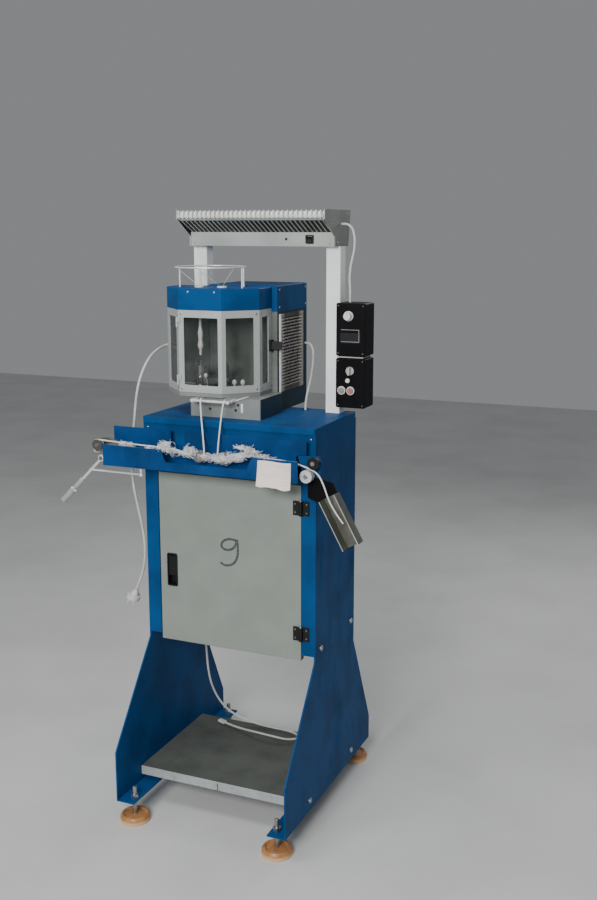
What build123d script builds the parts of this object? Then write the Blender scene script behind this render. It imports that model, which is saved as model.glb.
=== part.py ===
from build123d import *
import math
import os

# Cord knitting machine on a sheet metal stand.
# X runs along the table, +X to the right; -Y is the operator's side; Z is up from the floor.
# The origin is on the floor, in the middle between the four feet.

os.makedirs("parts", exist_ok=True)

# Stand
half_width = 245.0
plate_sheet = 4.0
plate_bottom = 60.0
plate_front = -308.0
plate_rear = 308.0
toe_top = 199.0
heel_top = 129.0
front_waist = 457.0
rear_waist = 417.0
body_front = -116.0
body_rear = 167.0
table_bottom = 1052.0
foot_flange = 52.0
front_flange = 38.0
rear_flange = 20.0
knee_radius = 14.0
plate_inner = half_width - plate_sheet

# Levelling feet
foot_x = half_width - 37.0
foot_y = 278.0
pad_radius = 39.5
pad_height = 20.0
pad_recess = 8.0
stud_radius = 6.0
stud_hole_radius = 6.5
stud_top = 96.0
nut_height = 10.0
nut_corner_radius = 11.0

# Shelf and cabinet sheet work
shelf_front = -186.0
shelf_top = 105.0
shelf_lip = 25.0
tray_sheet = 2.5
slit_x = -7.0
cabinet_floor_z = 468.0
cabinet_floor_lip = 27.0
back_sheet = 2.0
vent_length = 70.0
vent_height = 5.0
vent_pitch = 14.0
vent_rows = 8
vent_centre_z = 960.0
vent_column_pitch = 180.0
lower_hole = (-186.0, 92.0)
lower_hole_radius = 8.0
bolt_radius = 4.0
bolt_head_radius = 7.5
bolt_head_height = 4.5
bolt_end = 13.0
bolt_nut_height = 6.5
bolt_nut_radius = 7.5
shelf_bolt_z = 90.0
shelf_bolt_y = (-153.0, 152.0)
floor_bolt_z = 484.0
floor_bolt_y = (-80.0, 139.0)

# Table and apron
table_top_z = 1068.0
table_front = -123.0
table_corner = 6.0
apron_bottom = 925.0
apron_sheet = 2.0
apron_lip = 16.0
apron_lip_gap = 3.0
cable_hole_radius = 13.0
drive_cable_hole = (105.0, 150.0)

# Front door
door_gap = 2.0
door_bottom = 456.0
door_top = 922.0
door_depth = 18.0
door_sheet = 1.5
door_edge_radius = 1.4
door_half_width = half_width - front_flange - door_gap
door_rear = body_front + door_depth

# Door hinges
hinge_centres = (529.5, 862.5)
hinge_height = 37.0
hinge_reach = 22.0
leaf_sheet = 3.0
knuckle_radius = 5.0
pin_radius = 2.5
pin_clearance = 0.05
knuckle_gap = 0.3
hinge_x = half_width - front_flange - door_gap / 2
hinge_y = body_front - knuckle_radius - 0.5

# Door handle
handle_left = 21.0 - door_half_width
handle_right = handle_left + 31.0
handle_bottom = 610.0
handle_top = 701.0
handle_rim = 2.0
handle_wall = 1.5
handle_depth = 15.0
paddle_gap = 0.6
paddle_height = handle_top - handle_bottom - 39.0
paddle_sheet = 3.0
paddle_pin_radius = 1.5

# Control gear behind the door
gear_plate_half_width = half_width - 75.0
gear_plate_bottom = 520.0
gear_plate_top = 880.0
gear_plate_sheet = 2.0
inverter_size = (118.0, 120.0, 185.0)
inverter_centre = (-85.0, 730.0)
fin_count = 7
terminal_count = 12
terminal_pitch = 9.0
terminal_left = 30.0
terminal_z = 625.0

# Take-down tray
tray_left = -half_width - 77.0
tray_right = half_width - 15.0
tray_front = -198.0
tray_back = -138.0
tray_bottom = 945.0
tray_front_top = 1000.0
tray_back_top = 1040.0
tray_wall = 3.0
service_notch = (-150.0, 108.0)
service_notch_bottom = 968.0
service_notch_slope = 15.0
back_notch = (-150.0, -110.0)
back_notch_bottom = 1003.0
bracket_centres = (-60.0, 150.0)
bracket_width = 44.0

# Wheels that lead the cords: centre x, centre z
guide_wheel_radius = 15.0
wheel_width = 12.0
wheel_bore = 3.05
axle_radius = 3.0
groove_depth = 3.0
groove_width = 7.0
wheel_y = -168.0
left_guide = (-53.4, 985.0)
right_guide = (13.4, 985.0)
left_end_wheel = (tray_left - 33.0, 991.0)
outlet_wheel = (tray_right + 30.0, 993.0)
take_off_centre = (tray_right + 13.0, 960.0)
take_off_radius = 16.0
take_off_length = 20.0
knurl_count = 30

# Cord outlet
outlet_plate_sheet = 6.0
chute_top = (tray_right + 69.0, 912.0)
chute_length = 133.0
chute_width = 46.0
chute_depth = 35.0
chute_sheet = 2.0
chute_angle = -61.5

# Dancer arm
dancer_pivot = (tray_left - 22.0, 957.0)
dancer_reach = 143.0
dancer_angle = 225.0
dancer_rod_radius = 4.0
dancer_sleeve_radius = 8.5
dancer_sleeve_length = 48.0
guide_rod_left = tray_left - 51.0
guide_rod_right = tray_left + 106.0
guide_rod_z = 926.0
guide_rod_y = -184.0
guide_rod_radius = 2.5

# Knitting head
head_left = -135.0
head_right = 69.0
head_front = -63.0
head_rear = 77.0
head_flange = 10.0
guard_bottom = 1131.0
guard_top = 1345.0
guard_left = -233.0
guard_right = 39.0
guard_front = -73.0
guard_bevel = 73.0
guard_sheet = 3.0
guard_stile = 16.0
guard_mullion = 11.0
guard_rail = 19.0
pane_sheet = 2.0
pane_edge = 6.0
cylinder_spacing = 66.0
heads_x = -97.0
heads_y = -8.0
gear_module = 1.65
gear_teeth = 40
pinion_teeth = 15
gear_width = 10.0
gear_backlash = 0.12
gear_rest_gap = 0.3
journal_radius = 12.0
journal_clearance = 0.05
cylinder_radius = 15.0
cylinder_bore = 9.0
cylinder_top = 1196.0
needle_count = 12
needle_radius = 1.0
needle_length = 11.0
cam_bottom = 1150.0
cam_top = 1166.0
cam_wall = 9.0
cam_clearance = 0.6
cam_post_radius = 5.0
cam_posts_y = (-40.0, 24.0)
cap_top = 1400.0
cap_sheet = 2.0
feed_tube_radius = 4.0
feed_sleeve_radius = 8.0
feed_sleeve = (1240.0, 1297.0)
feed_tube_end = 1222.0
feed_disc_radius = 13.0
feed_disc_height = 4.0
feed_bore_radius = 2.0
crown_z = 1453.0
crown_radius = 91.0
crown_wire = 2.0
crown_post_radius = 2.5
crown_post_angles = (0, 45, 135, 180)

# Drive housing
housing_left = -150.0
housing_right = 55.0
housing_rear = 279.0
housing_split = 1335.0
housing_top = 1403.0
housing_wall = 3.0
louvre_front = 88.0
louvre_rear = 243.0
louvre_bottom = 1120.0
louvre_top = 1328.0
louvre_frame = 10.0
louvre_sheet = 4.0
slat_count = 22
belt_z = 1088.0
belt_width = 9.0
belt_pulley_radius = 14.0
motor_y = 186.0
motor_radius = 46.0
motor_height = 150.0
motor_bracket_z = 1110.0
motor_bracket_sheet = 5.0
motor_bracket_reach = 55.0
motor_fin_count = 20

# Gantry
post_x = half_width - 50.0
post_y = 140.0
post_size = 40.0
post_wall = 3.0
trough_top = 1593.0
trough_bottom = trough_top - 88.0
trough_half_length = half_width - 37.0
end_plate_sheet = 3.0
tooth_count = 32
tooth_pitch = 2 * trough_half_length / tooth_count

# Control boxes
box_front = 92.0
box_rear = 158.0
box_left = post_x + post_size / 2
box_right = box_left + 81.0
speed_box_z = (1225.0, 1362.0)
button_box_z = (1089.0, 1219.0)
box_corner = 4.0
speed_knob_centre = (box_left + 35.0, 1329.0)
display_centre = (box_left + 39.0, 1272.0)
display_size = (56.0, 27.0)
selector_centre = (box_left + 40.0, 1187.0)
lamp_centre = (box_left + 34.0, 1161.0)
green_button_centre = (box_left + 17.0, 1135.0)
red_button_centre = (box_left + 42.0, 1135.0)
cover_screw_x = (box_left + 8.5, box_left + 57.0)
rocker_centre = (post_x - 55.0, trough_bottom + 18.0)

# Rod across the front of the knitting head
cord_rod_left = -112.0
cord_rod_right = 0.0
cord_rod_y = -100.0
cord_rod_z = 1115.0
cord_rod_radius = 3.5

# Cables
lead_radius = 3.5
cable_radius = 3.0
knit_cord_radius = 2.0


# Builds a straight block from three pairs of limits.
def slab(xs, ys, zs, mode=Mode.ADD):
    with BuildSketch(Plane.XY.offset(zs[0])) as plan:
        with Locations(((xs[0] + xs[1]) / 2, (ys[0] + ys[1]) / 2)):
            Rectangle(xs[1] - xs[0], ys[1] - ys[0])
    extrude(plan.sketch, amount=zs[1] - zs[0], mode=mode)


# Extrudes an outline that is drawn on the given plane.
def prism(plane, points, depth, mode=Mode.ADD):
    with BuildSketch(plane) as outline:
        with BuildLine():
            Polyline(*points, close=True)
        make_face()
    extrude(outline.sketch, amount=depth, mode=mode)


# Extrudes a circle that is drawn on the given plane.
def disc(plane, centre, radius, depth, mode=Mode.ADD):
    with BuildSketch(plane) as outline:
        with Locations(centre):
            Circle(radius)
    extrude(outline.sketch, amount=depth, mode=mode)


# The front plane has its drawing in X and Z, and is extruded towards the operator.
def front_plane(y):
    return Plane.XZ.offset(-y)


def level(z):
    return Plane.XY.offset(z)


# The right-hand side plate is one folded sheet with flanges at the floor, the front and the rear.
with BuildPart() as right_side_plate:
    with BuildSketch(Plane.YZ.offset(plate_inner)) as web:
        with BuildLine():
            Polyline(
                (plate_front, plate_bottom),
                (plate_front, toe_top),
                (body_front, front_waist),
                (body_front, table_bottom),
                (body_rear, table_bottom),
                (body_rear, rear_waist),
                (plate_rear, heel_top),
                (plate_rear, plate_bottom),
                close=True,
            )
        make_face()
        knees = [v for v in web.vertices() if plate_bottom < v.Y < table_bottom]
        fillet(knees, radius=knee_radius)
    extrude(amount=plate_sheet)
    slab(
        (half_width - foot_flange, half_width),
        (plate_front, plate_rear),
        (plate_bottom, plate_bottom + plate_sheet),
    )
    slab(
        (half_width - front_flange, half_width),
        (body_front, body_front + plate_sheet),
        (front_waist + knee_radius, table_bottom),
    )
    slab(
        (half_width - rear_flange, half_width),
        (body_rear - plate_sheet, body_rear),
        (rear_waist + knee_radius, table_bottom),
    )
    for y in (-foot_y, foot_y):
        disc(level(plate_bottom), (foot_x, y), stud_hole_radius, plate_sheet, Mode.SUBTRACT)
    for y in shelf_bolt_y:
        disc(Plane.YZ.offset(plate_inner), (y, shelf_bolt_z), bolt_radius, plate_sheet, Mode.SUBTRACT)
    for y in floor_bolt_y:
        disc(Plane.YZ.offset(plate_inner), (y, floor_bolt_z), bolt_radius, plate_sheet, Mode.SUBTRACT)
right_side_plate.part.label = "right_side_plate"
export_step(right_side_plate.part, "parts/right_side_plate.step")

with BuildPart() as left_side_plate:
    mirror(right_side_plate.part, about=Plane.YZ)
left_side_plate.part.label = "left_side_plate"
export_step(left_side_plate.part, "parts/left_side_plate.step")

# Levelling feet: a moulded pad with a blind socket, a stud and two locking nuts each
with BuildPart() as one_pad:
    with BuildSketch(Plane.XZ):
        with BuildLine():
            Polyline(
                (0, 0),
                (pad_radius - 2, 0),
                (pad_radius, 2),
                (pad_radius, pad_height - 6),
                (pad_radius - 4, pad_height),
                (pad_radius - 9, pad_height),
                (pad_radius - 13, pad_height - 3),
                (stud_radius + 6, pad_height - 1),
                (stud_radius, pad_height - 1),
                (stud_radius, pad_recess),
                (0, pad_recess),
                close=True,
            )
        make_face()
    revolve(axis=Axis.Z)
with BuildPart() as foot_pads:
    with GridLocations(2 * foot_x, 2 * foot_y, 2, 2):
        add(one_pad.part)
foot_pads.part.label = "foot_pads"
export_step(foot_pads.part, "parts/foot_pads.step")

# Studs of the feet, bolts of the shelf and the cabinet floor, and all their nuts
with BuildPart() as frame_fasteners:
    with BuildSketch(level(pad_recess)) as studs:
        with GridLocations(2 * foot_x, 2 * foot_y, 2, 2):
            Circle(stud_radius)
    extrude(studs.sketch, amount=stud_top - pad_recess)
    chamfer(frame_fasteners.faces().group_by(Axis.Z)[-1].edges(), length=1.2)
    for side in (-1, 1):
        for z, rows in ((shelf_bolt_z, shelf_bolt_y), (floor_bolt_z, floor_bolt_y)):
            for y in rows:
                disc(Plane.YZ.offset(side * half_width), (y, z), bolt_head_radius, side * bolt_head_height)
                disc(Plane.YZ.offset(side * half_width), (y, z), bolt_radius, -side * bolt_end)
    heads = frame_fasteners.faces().filter_by(Axis.X).group_by(Axis.X)
    fillet(heads[-1].edges() + heads[0].edges(), radius=2)

nuts = []
for nut_bottom in (plate_bottom - nut_height, plate_bottom + plate_sheet):
    with BuildPart() as foot_nuts:
        with BuildSketch(level(nut_bottom)):
            with GridLocations(2 * foot_x, 2 * foot_y, 2, 2):
                RegularPolygon(nut_corner_radius, 6)
                Circle(stud_radius, mode=Mode.SUBTRACT)
        extrude(amount=nut_height)
    nuts += foot_nuts.part.solids()
for side in (-1, 1):
    for z, rows in ((shelf_bolt_z, shelf_bolt_y), (floor_bolt_z, floor_bolt_y)):
        with BuildPart() as frame_nuts:
            with BuildSketch(Plane.YZ.offset(side * (plate_inner - tray_sheet))) as nut:
                with Locations(*[(y, z) for y in rows]):
                    RegularPolygon(bolt_nut_radius, 6)
                    Circle(bolt_radius, mode=Mode.SUBTRACT)
            extrude(nut.sketch, amount=-side * bolt_nut_height)
        nuts += frame_nuts.part.solids()
fasteners = Compound(label="frame_fasteners", children=frame_fasteners.part.solids() + nuts)
export_step(fasteners, "parts/frame_fasteners.step")

# Shelf between the plates, with its lips folded down
with BuildPart() as shelf:
    slab((-plate_inner, plate_inner), (shelf_front, body_rear), (shelf_top - shelf_lip, shelf_top))
    offset(amount=-tray_sheet, openings=shelf.faces().sort_by(Axis.Z)[0])
    for side in (-1, 1):
        for y in shelf_bolt_y:
            disc(
                Plane.YZ.offset(side * plate_inner),
                (y, shelf_bolt_z),
                bolt_radius,
                -side * tray_sheet,
                Mode.SUBTRACT,
            )
    slab(
        (slit_x - 1.5, slit_x + 1.5),
        (shelf_front, shelf_front + tray_sheet),
        (shelf_top - shelf_lip, shelf_top - 5),
        Mode.SUBTRACT,
    )
shelf.part.label = "shelf"
export_step(shelf.part, "parts/shelf.step")

# Cabinet floor, with side and rear flanges folded up
cabinet_rear = body_rear - plate_sheet - back_sheet
with BuildPart() as cabinet_floor:
    slab(
        (-plate_inner, plate_inner),
        (door_rear + door_gap, cabinet_rear),
        (cabinet_floor_z, cabinet_floor_z + cabinet_floor_lip),
    )
    open_faces = [
        cabinet_floor.faces().sort_by(Axis.Z)[-1],
        cabinet_floor.faces().sort_by(Axis.Y)[0],
    ]
    offset(amount=-tray_sheet, openings=open_faces)
    for side in (-1, 1):
        for y in floor_bolt_y:
            disc(
                Plane.YZ.offset(side * plate_inner),
                (y, floor_bolt_z),
                bolt_radius,
                -side * tray_sheet,
                Mode.SUBTRACT,
            )
    disc(level(cabinet_floor_z), lower_hole, lower_hole_radius, tray_sheet, Mode.SUBTRACT)
# Cabinet back, between the rear flanges and the floor, with two columns of vents
with BuildPart() as cabinet_back:
    slab((-plate_inner, plate_inner), (cabinet_rear, cabinet_rear + back_sheet), (cabinet_floor_z, table_bottom))
    with BuildSketch(front_plane(cabinet_rear + back_sheet)) as vents:
        with Locations((0, vent_centre_z)):
            with GridLocations(vent_column_pitch, vent_pitch, 2, vent_rows):
                SlotOverall(vent_length, vent_height)
    extrude(vents.sketch, amount=back_sheet, mode=Mode.SUBTRACT)
cabinet_sheets = Compound(
    label="cabinet_sheets",
    children=[cabinet_floor.part.solid(), cabinet_back.part.solid()],
)
export_step(cabinet_sheets, "parts/cabinet_sheets.step")

# Table plate, carried on the upper edges of the side plates
with BuildPart() as table_top:
    slab((-half_width, half_width), (table_front, body_rear), (table_bottom, table_top_z))
    fillet(table_top.edges().filter_by(Axis.Z), radius=table_corner)
    chamfer(table_top.faces().sort_by(Axis.Z)[-1].edges(), length=1)
    disc(level(table_bottom), drive_cable_hole, cable_hole_radius, table_top_z - table_bottom, Mode.SUBTRACT)
table_top.part.label = "table_top"
export_step(table_top.part, "parts/table_top.step")

# Apron in front of the table, with a lip folded back over the door
with BuildPart() as front_apron:
    slab((-half_width, half_width), (body_front - apron_sheet, body_front), (apron_bottom, table_bottom))
    slab(
        (-door_half_width, door_half_width),
        (body_front - apron_sheet, body_front + apron_lip),
        (apron_bottom, apron_bottom + apron_sheet),
    )
front_apron.part.label = "front_apron"
export_step(front_apron.part, "parts/front_apron.step")

# Front door: a folded pan with a cut-out for the handle
cup_half_width = (handle_right - handle_left) / 2 - handle_rim
cup_half_height = (handle_top - handle_bottom) / 2 - handle_rim
handle_x = (handle_left + handle_right) / 2
handle_z = (handle_bottom + handle_top) / 2
with BuildPart() as front_door:
    slab((-door_half_width, door_half_width), (body_front, door_rear), (door_bottom, door_top))
    offset(amount=-door_sheet, openings=front_door.faces().sort_by(Axis.Y)[-1])
    fillet(front_door.faces().sort_by(Axis.Y)[0].edges(), radius=door_edge_radius)
    with BuildSketch(front_plane(door_rear)) as handle_hole:
        with Locations((handle_x, handle_z)):
            RectangleRounded(2 * cup_half_width, 2 * cup_half_height, 4)
    extrude(handle_hole.sketch, amount=door_depth, mode=Mode.SUBTRACT)
front_door.part.label = "front_door"
export_step(front_door.part, "parts/front_door.step")

# Hinges: the frame leaf has the outer knuckles, the door leaf the middle one.
third = hinge_height / 3
with BuildPart() as hinge_frame_leaves:
    for z in hinge_centres:
        low = z - hinge_height / 2
        slab(
            (hinge_x, hinge_x + hinge_reach),
            (body_front - leaf_sheet, body_front),
            (low, low + hinge_height),
        )
        disc(level(low), (hinge_x, hinge_y), knuckle_radius, hinge_height)
        disc(
            level(low + third),
            (hinge_x, hinge_y),
            knuckle_radius + 1,
            third,
            Mode.SUBTRACT,
        )
        disc(level(low), (hinge_x, hinge_y), pin_radius, hinge_height, Mode.SUBTRACT)
with BuildPart() as hinge_door_leaves:
    for z in hinge_centres:
        low = z - hinge_height / 2
        slab(
            (hinge_x - hinge_reach, hinge_x - door_gap / 2),
            (body_front - leaf_sheet, body_front),
            (low, low + hinge_height),
        )
        disc(level(low), (hinge_x, hinge_y), knuckle_radius + 0.5, third + knuckle_gap, Mode.SUBTRACT)
        disc(
            level(low + 2 * third - knuckle_gap),
            (hinge_x, hinge_y),
            knuckle_radius + 0.5,
            third + knuckle_gap,
            Mode.SUBTRACT,
        )
        disc(
            level(low + third + knuckle_gap),
            (hinge_x, hinge_y),
            knuckle_radius,
            third - 2 * knuckle_gap,
        )
        disc(
            level(low),
            (hinge_x, hinge_y),
            pin_radius + pin_clearance,
            hinge_height,
            Mode.SUBTRACT,
        )
hinge_door_leaves.part.label = "hinge_door_leaves"
export_step(hinge_door_leaves.part, "parts/hinge_door_leaves.step")

with BuildPart() as hinge_pins:
    for z in hinge_centres:
        disc(level(z - hinge_height / 2 - 1), (hinge_x, hinge_y), pin_radius, hinge_height + 2)
    chamfer(hinge_pins.faces().filter_by(Axis.Z).edges(), length=0.5)
frame_hinges = Compound(
    label="hinge_frame_leaves",
    children=hinge_frame_leaves.part.solids() + hinge_pins.part.solids(),
)
export_step(frame_hinges, "parts/hinge_frame_leaves.step")

# Door handle: a recessed cup and a sprung paddle that swings out at its lower end
paddle_pivot = (body_front + 1.5, handle_z + cup_half_height - handle_wall - 6)
paddle_half_width = cup_half_width - handle_wall - paddle_gap
with BuildPart() as door_handle_cup:
    with BuildSketch(front_plane(body_front)) as rim:
        with Locations((handle_x, handle_z)):
            RectangleRounded(handle_right - handle_left, handle_top - handle_bottom, 5)
    extrude(rim.sketch, amount=handle_rim)
    with BuildSketch(front_plane(body_front + handle_depth)) as cup:
        with Locations((handle_x, handle_z)):
            RectangleRounded(2 * cup_half_width, 2 * cup_half_height, 4)
    extrude(cup.sketch, amount=handle_depth)
    with BuildSketch(front_plane(body_front + handle_depth - handle_wall)) as hollow:
        with Locations((handle_x, handle_z)):
            RectangleRounded(2 * (cup_half_width - handle_wall), 2 * (cup_half_height - handle_wall), 2.5)
    extrude(hollow.sketch, amount=handle_depth + handle_rim, mode=Mode.SUBTRACT)
    disc(
        Plane.YZ.offset(handle_x - cup_half_width),
        paddle_pivot,
        paddle_pin_radius + pin_clearance,
        2 * cup_half_width,
        Mode.SUBTRACT,
    )
door_handle_cup.part.label = "door_handle_cup"
export_step(door_handle_cup.part, "parts/door_handle_cup.step")

with BuildPart() as door_handle_paddle:
    slab(
        (handle_x - paddle_half_width, handle_x + paddle_half_width),
        (paddle_pivot[0] - paddle_sheet / 2, paddle_pivot[0] + paddle_sheet / 2),
        (paddle_pivot[1] - paddle_height, paddle_pivot[1]),
    )
    disc(
        Plane.YZ.offset(handle_x - paddle_half_width),
        paddle_pivot,
        paddle_sheet,
        2 * paddle_half_width,
    )
    disc(
        Plane.YZ.offset(handle_x - cup_half_width + 0.2),
        paddle_pivot,
        paddle_pin_radius,
        2 * cup_half_width - 0.4,
    )
    slab(
        (handle_x - paddle_half_width, handle_x + paddle_half_width),
        (paddle_pivot[0] - paddle_sheet / 2, paddle_pivot[0] + 6),
        (paddle_pivot[1] - paddle_height, paddle_pivot[1] - paddle_height + 3),
    )
door_handle_paddle.part.label = "door_handle_paddle"
export_step(door_handle_paddle.part, "parts/door_handle_paddle.step")

# Control gear on a plate on the cabinet back
gear_plate_front = cabinet_rear - gear_plate_sheet
with BuildPart() as mounting_plate:
    slab(
        (-gear_plate_half_width, gear_plate_half_width),
        (gear_plate_front, cabinet_rear),
        (gear_plate_bottom, gear_plate_top),
    )
    fillet(mounting_plate.edges().filter_by(Axis.Y), radius=6)
with BuildPart() as motor_inverter:
    slab(
        (inverter_centre[0] - inverter_size[0] / 2, inverter_centre[0] + inverter_size[0] / 2),
        (gear_plate_front - inverter_size[1], gear_plate_front),
        (inverter_centre[1] - inverter_size[2] / 2, inverter_centre[1] + inverter_size[2] / 2),
    )
    fillet(motor_inverter.faces().sort_by(Axis.Y)[0].edges(), radius=4)
    with BuildSketch(level(inverter_centre[1] - inverter_size[2] / 2)) as fins:
        with Locations((inverter_centre[0], gear_plate_front - 22)):
            with GridLocations(inverter_size[0] / fin_count, 1, fin_count, 1):
                Rectangle(inverter_size[0] / fin_count / 2, 30)
    extrude(fins.sketch, amount=inverter_size[2], mode=Mode.SUBTRACT)
with BuildPart() as terminal_block:
    for index in range(terminal_count):
        prism(
            Plane.YZ.offset(terminal_left + index * terminal_pitch),
            [
                (gear_plate_front, terminal_z - 25),
                (gear_plate_front, terminal_z + 25),
                (gear_plate_front - 14, terminal_z + 25),
                (gear_plate_front - 30, terminal_z + 13),
                (gear_plate_front - 30, terminal_z - 13),
                (gear_plate_front - 14, terminal_z - 25),
            ],
            terminal_pitch - 1,
        )
    slab(
        (terminal_left - 8, terminal_left + terminal_count * terminal_pitch + 8),
        (gear_plate_front - 6, gear_plate_front),
        (terminal_z - 17, terminal_z + 17),
    )
control_gear = Compound(
    label="control_gear",
    children=mounting_plate.part.solids() + motor_inverter.part.solids() + terminal_block.part.solids(),
)
export_step(control_gear, "parts/control_gear.step")

# Take-down tray: an open channel with a service notch in front and a slot in its rear wall
with BuildPart() as take_down_tray:
    prism(
        Plane.YZ.offset(tray_left),
        [
            (tray_front, tray_front_top),
            (tray_front, tray_bottom),
            (tray_back, tray_bottom),
            (tray_back, tray_back_top),
            (tray_back - tray_wall, tray_back_top),
            (tray_back - tray_wall, tray_bottom + tray_wall),
            (tray_front + tray_wall, tray_bottom + tray_wall),
            (tray_front + tray_wall, tray_front_top),
        ],
        tray_right - tray_left,
    )
    prism(
        front_plane(tray_front + tray_wall),
        [
            (service_notch[0], tray_front_top),
            (service_notch[0] + service_notch_slope, service_notch_bottom),
            (service_notch[1] - service_notch_slope, service_notch_bottom),
            (service_notch[1], tray_front_top),
        ],
        tray_wall,
        Mode.SUBTRACT,
    )
    slab(
        back_notch,
        (tray_back - tray_wall, tray_back),
        (back_notch_bottom, tray_back_top),
        Mode.SUBTRACT,
    )
    slab(
        (take_off_centre[0] - take_off_radius - 3, tray_right),
        (tray_front + tray_wall, tray_back - tray_wall),
        (tray_bottom, tray_bottom + tray_wall),
        Mode.SUBTRACT,
    )
take_down_tray.part.label = "take_down_tray"
export_step(take_down_tray.part, "parts/take_down_tray.step")

# Bent brackets between the tray and the apron
apron_face = body_front - apron_sheet
with BuildPart() as tray_brackets:
    for x in bracket_centres:
        prism(
            level(tray_bottom + 12),
            [
                (x - bracket_width / 2, tray_back),
                (x + bracket_width / 2, tray_back),
                (x + bracket_width / 2, apron_face),
                (x - bracket_width / 2, apron_face),
                (x - bracket_width / 2, apron_face - tray_wall),
                (x + bracket_width / 2 - tray_wall, apron_face - tray_wall),
                (x + bracket_width / 2 - tray_wall, tray_back + tray_wall),
                (x - bracket_width / 2, tray_back + tray_wall),
            ],
            tray_back_top - tray_bottom - 24,
        )
# Plate at the right end of the tray, which carries the outlet wheels and the chute
outlet_plate_outline = [
    (-25, 952),
    (-25, 1004),
    (32, 1006),
    (42, 992),
    (38, 950),
    (70, 945),
    (88, 905),
    (53, 884),
    (6, 900),
    (6, 936),
    (-4, 952),
]
outlet_plate_front = tray_back - tray_wall - outlet_plate_sheet
with BuildPart() as outlet_plate:
    with BuildSketch(front_plane(tray_back - tray_wall)) as outline:
        with BuildLine():
            Polyline(*[(tray_right + x, z) for x, z in outlet_plate_outline], close=True)
        make_face()
        fillet(outline.vertices(), radius=4)
    extrude(amount=outlet_plate_sheet)


# Grooved wheel that turns about the Y axis through the origin
with BuildPart() as grooved_wheel:
    with BuildSketch(Plane.XY):
        with BuildLine():
            Polyline(
                (wheel_bore, -wheel_width / 2),
                (guide_wheel_radius, -wheel_width / 2),
                (guide_wheel_radius, -groove_width / 2),
                (guide_wheel_radius - groove_depth, -groove_width / 2 + 1),
                (guide_wheel_radius - groove_depth, groove_width / 2 - 1),
                (guide_wheel_radius, groove_width / 2),
                (guide_wheel_radius, wheel_width / 2),
                (wheel_bore, wheel_width / 2),
                close=True,
            )
        make_face()
    revolve(axis=Axis.Y)

with BuildPart() as left_guide_wheel:
    with Locations((left_guide[0], wheel_y, left_guide[1])):
        add(grooved_wheel.part)
left_guide_wheel.part.label = "left_guide_wheel"
export_step(left_guide_wheel.part, "parts/left_guide_wheel.step")

with BuildPart() as right_guide_wheel:
    with Locations((right_guide[0], wheel_y, right_guide[1])):
        add(grooved_wheel.part)
right_guide_wheel.part.label = "right_guide_wheel"
export_step(right_guide_wheel.part, "parts/right_guide_wheel.step")

with BuildPart() as left_end_pulley:
    with Locations((left_end_wheel[0], wheel_y, left_end_wheel[1])):
        add(grooved_wheel.part)
left_end_pulley.part.label = "left_end_pulley"
export_step(left_end_pulley.part, "parts/left_end_pulley.step")

with BuildPart() as outlet_pulley:
    with Locations((outlet_wheel[0], wheel_y, outlet_wheel[1])):
        add(grooved_wheel.part)
outlet_pulley.part.label = "outlet_pulley"
export_step(outlet_pulley.part, "parts/outlet_pulley.step")

# Knurled take-off roller, turned with straight grooves
with BuildPart() as take_off_roller:
    with BuildSketch(front_plane(wheel_y + take_off_length / 2)) as face:
        with Locations(take_off_centre):
            Circle(take_off_radius)
            with PolarLocations(take_off_radius, knurl_count):
                Circle(0.7, mode=Mode.SUBTRACT)
            Circle(wheel_bore, mode=Mode.SUBTRACT)
    extrude(amount=take_off_length)
take_off_roller.part.label = "take_off_roller"
export_step(take_off_roller.part, "parts/take_off_roller.step")


# Headed pin on which a wheel turns, from its wall forward
def wheel_axle(centre, wall_y, middle_y, width):
    rear = middle_y + width / 2 + 0.3
    front = middle_y - width / 2 - 0.3
    disc(front_plane(wall_y), centre, axle_radius + 2, wall_y - rear)
    disc(front_plane(rear), centre, axle_radius, rear - front)
    disc(front_plane(front), centre, axle_radius + 2.5, 2.5)


end_bracket_sheet = 5.0
end_bracket_front = tray_back - tray_wall - end_bracket_sheet
with BuildPart() as wheel_axles:
    wheel_axle(left_guide, tray_back - tray_wall, wheel_y, wheel_width)
    wheel_axle(right_guide, tray_back - tray_wall, wheel_y, wheel_width)
    wheel_axle(outlet_wheel, outlet_plate_front, wheel_y, wheel_width)
    wheel_axle(take_off_centre, outlet_plate_front, wheel_y, take_off_length)
    wheel_axle(left_end_wheel, end_bracket_front, wheel_y, wheel_width)
    wheel_axle(dancer_pivot, end_bracket_front, wheel_y, wheel_width)
# Plate that carries the left end wheel and the dancer arm, on the tray's rear wall
end_plate_outline = [
    (37, 952),
    (37, 994),
    (-12, 1008),
    (-44, 1006),
    (-56, 990),
    (-56, 954),
    (-36, 944),
    (-8, 944),
    (-4, 952),
]
with BuildPart() as left_end_bracket:
    with BuildSketch(front_plane(tray_back - tray_wall)) as outline:
        with BuildLine():
            Polyline(*[(tray_left + x, z) for x, z in end_plate_outline], close=True)
        make_face()
        fillet(outline.vertices(), radius=3)
    extrude(amount=end_bracket_sheet)
brackets = Compound(
    label="tray_brackets",
    children=tray_brackets.part.solids() + outlet_plate.part.solids() + left_end_bracket.part.solids(),
)
export_step(brackets, "parts/tray_brackets.step")

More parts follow.
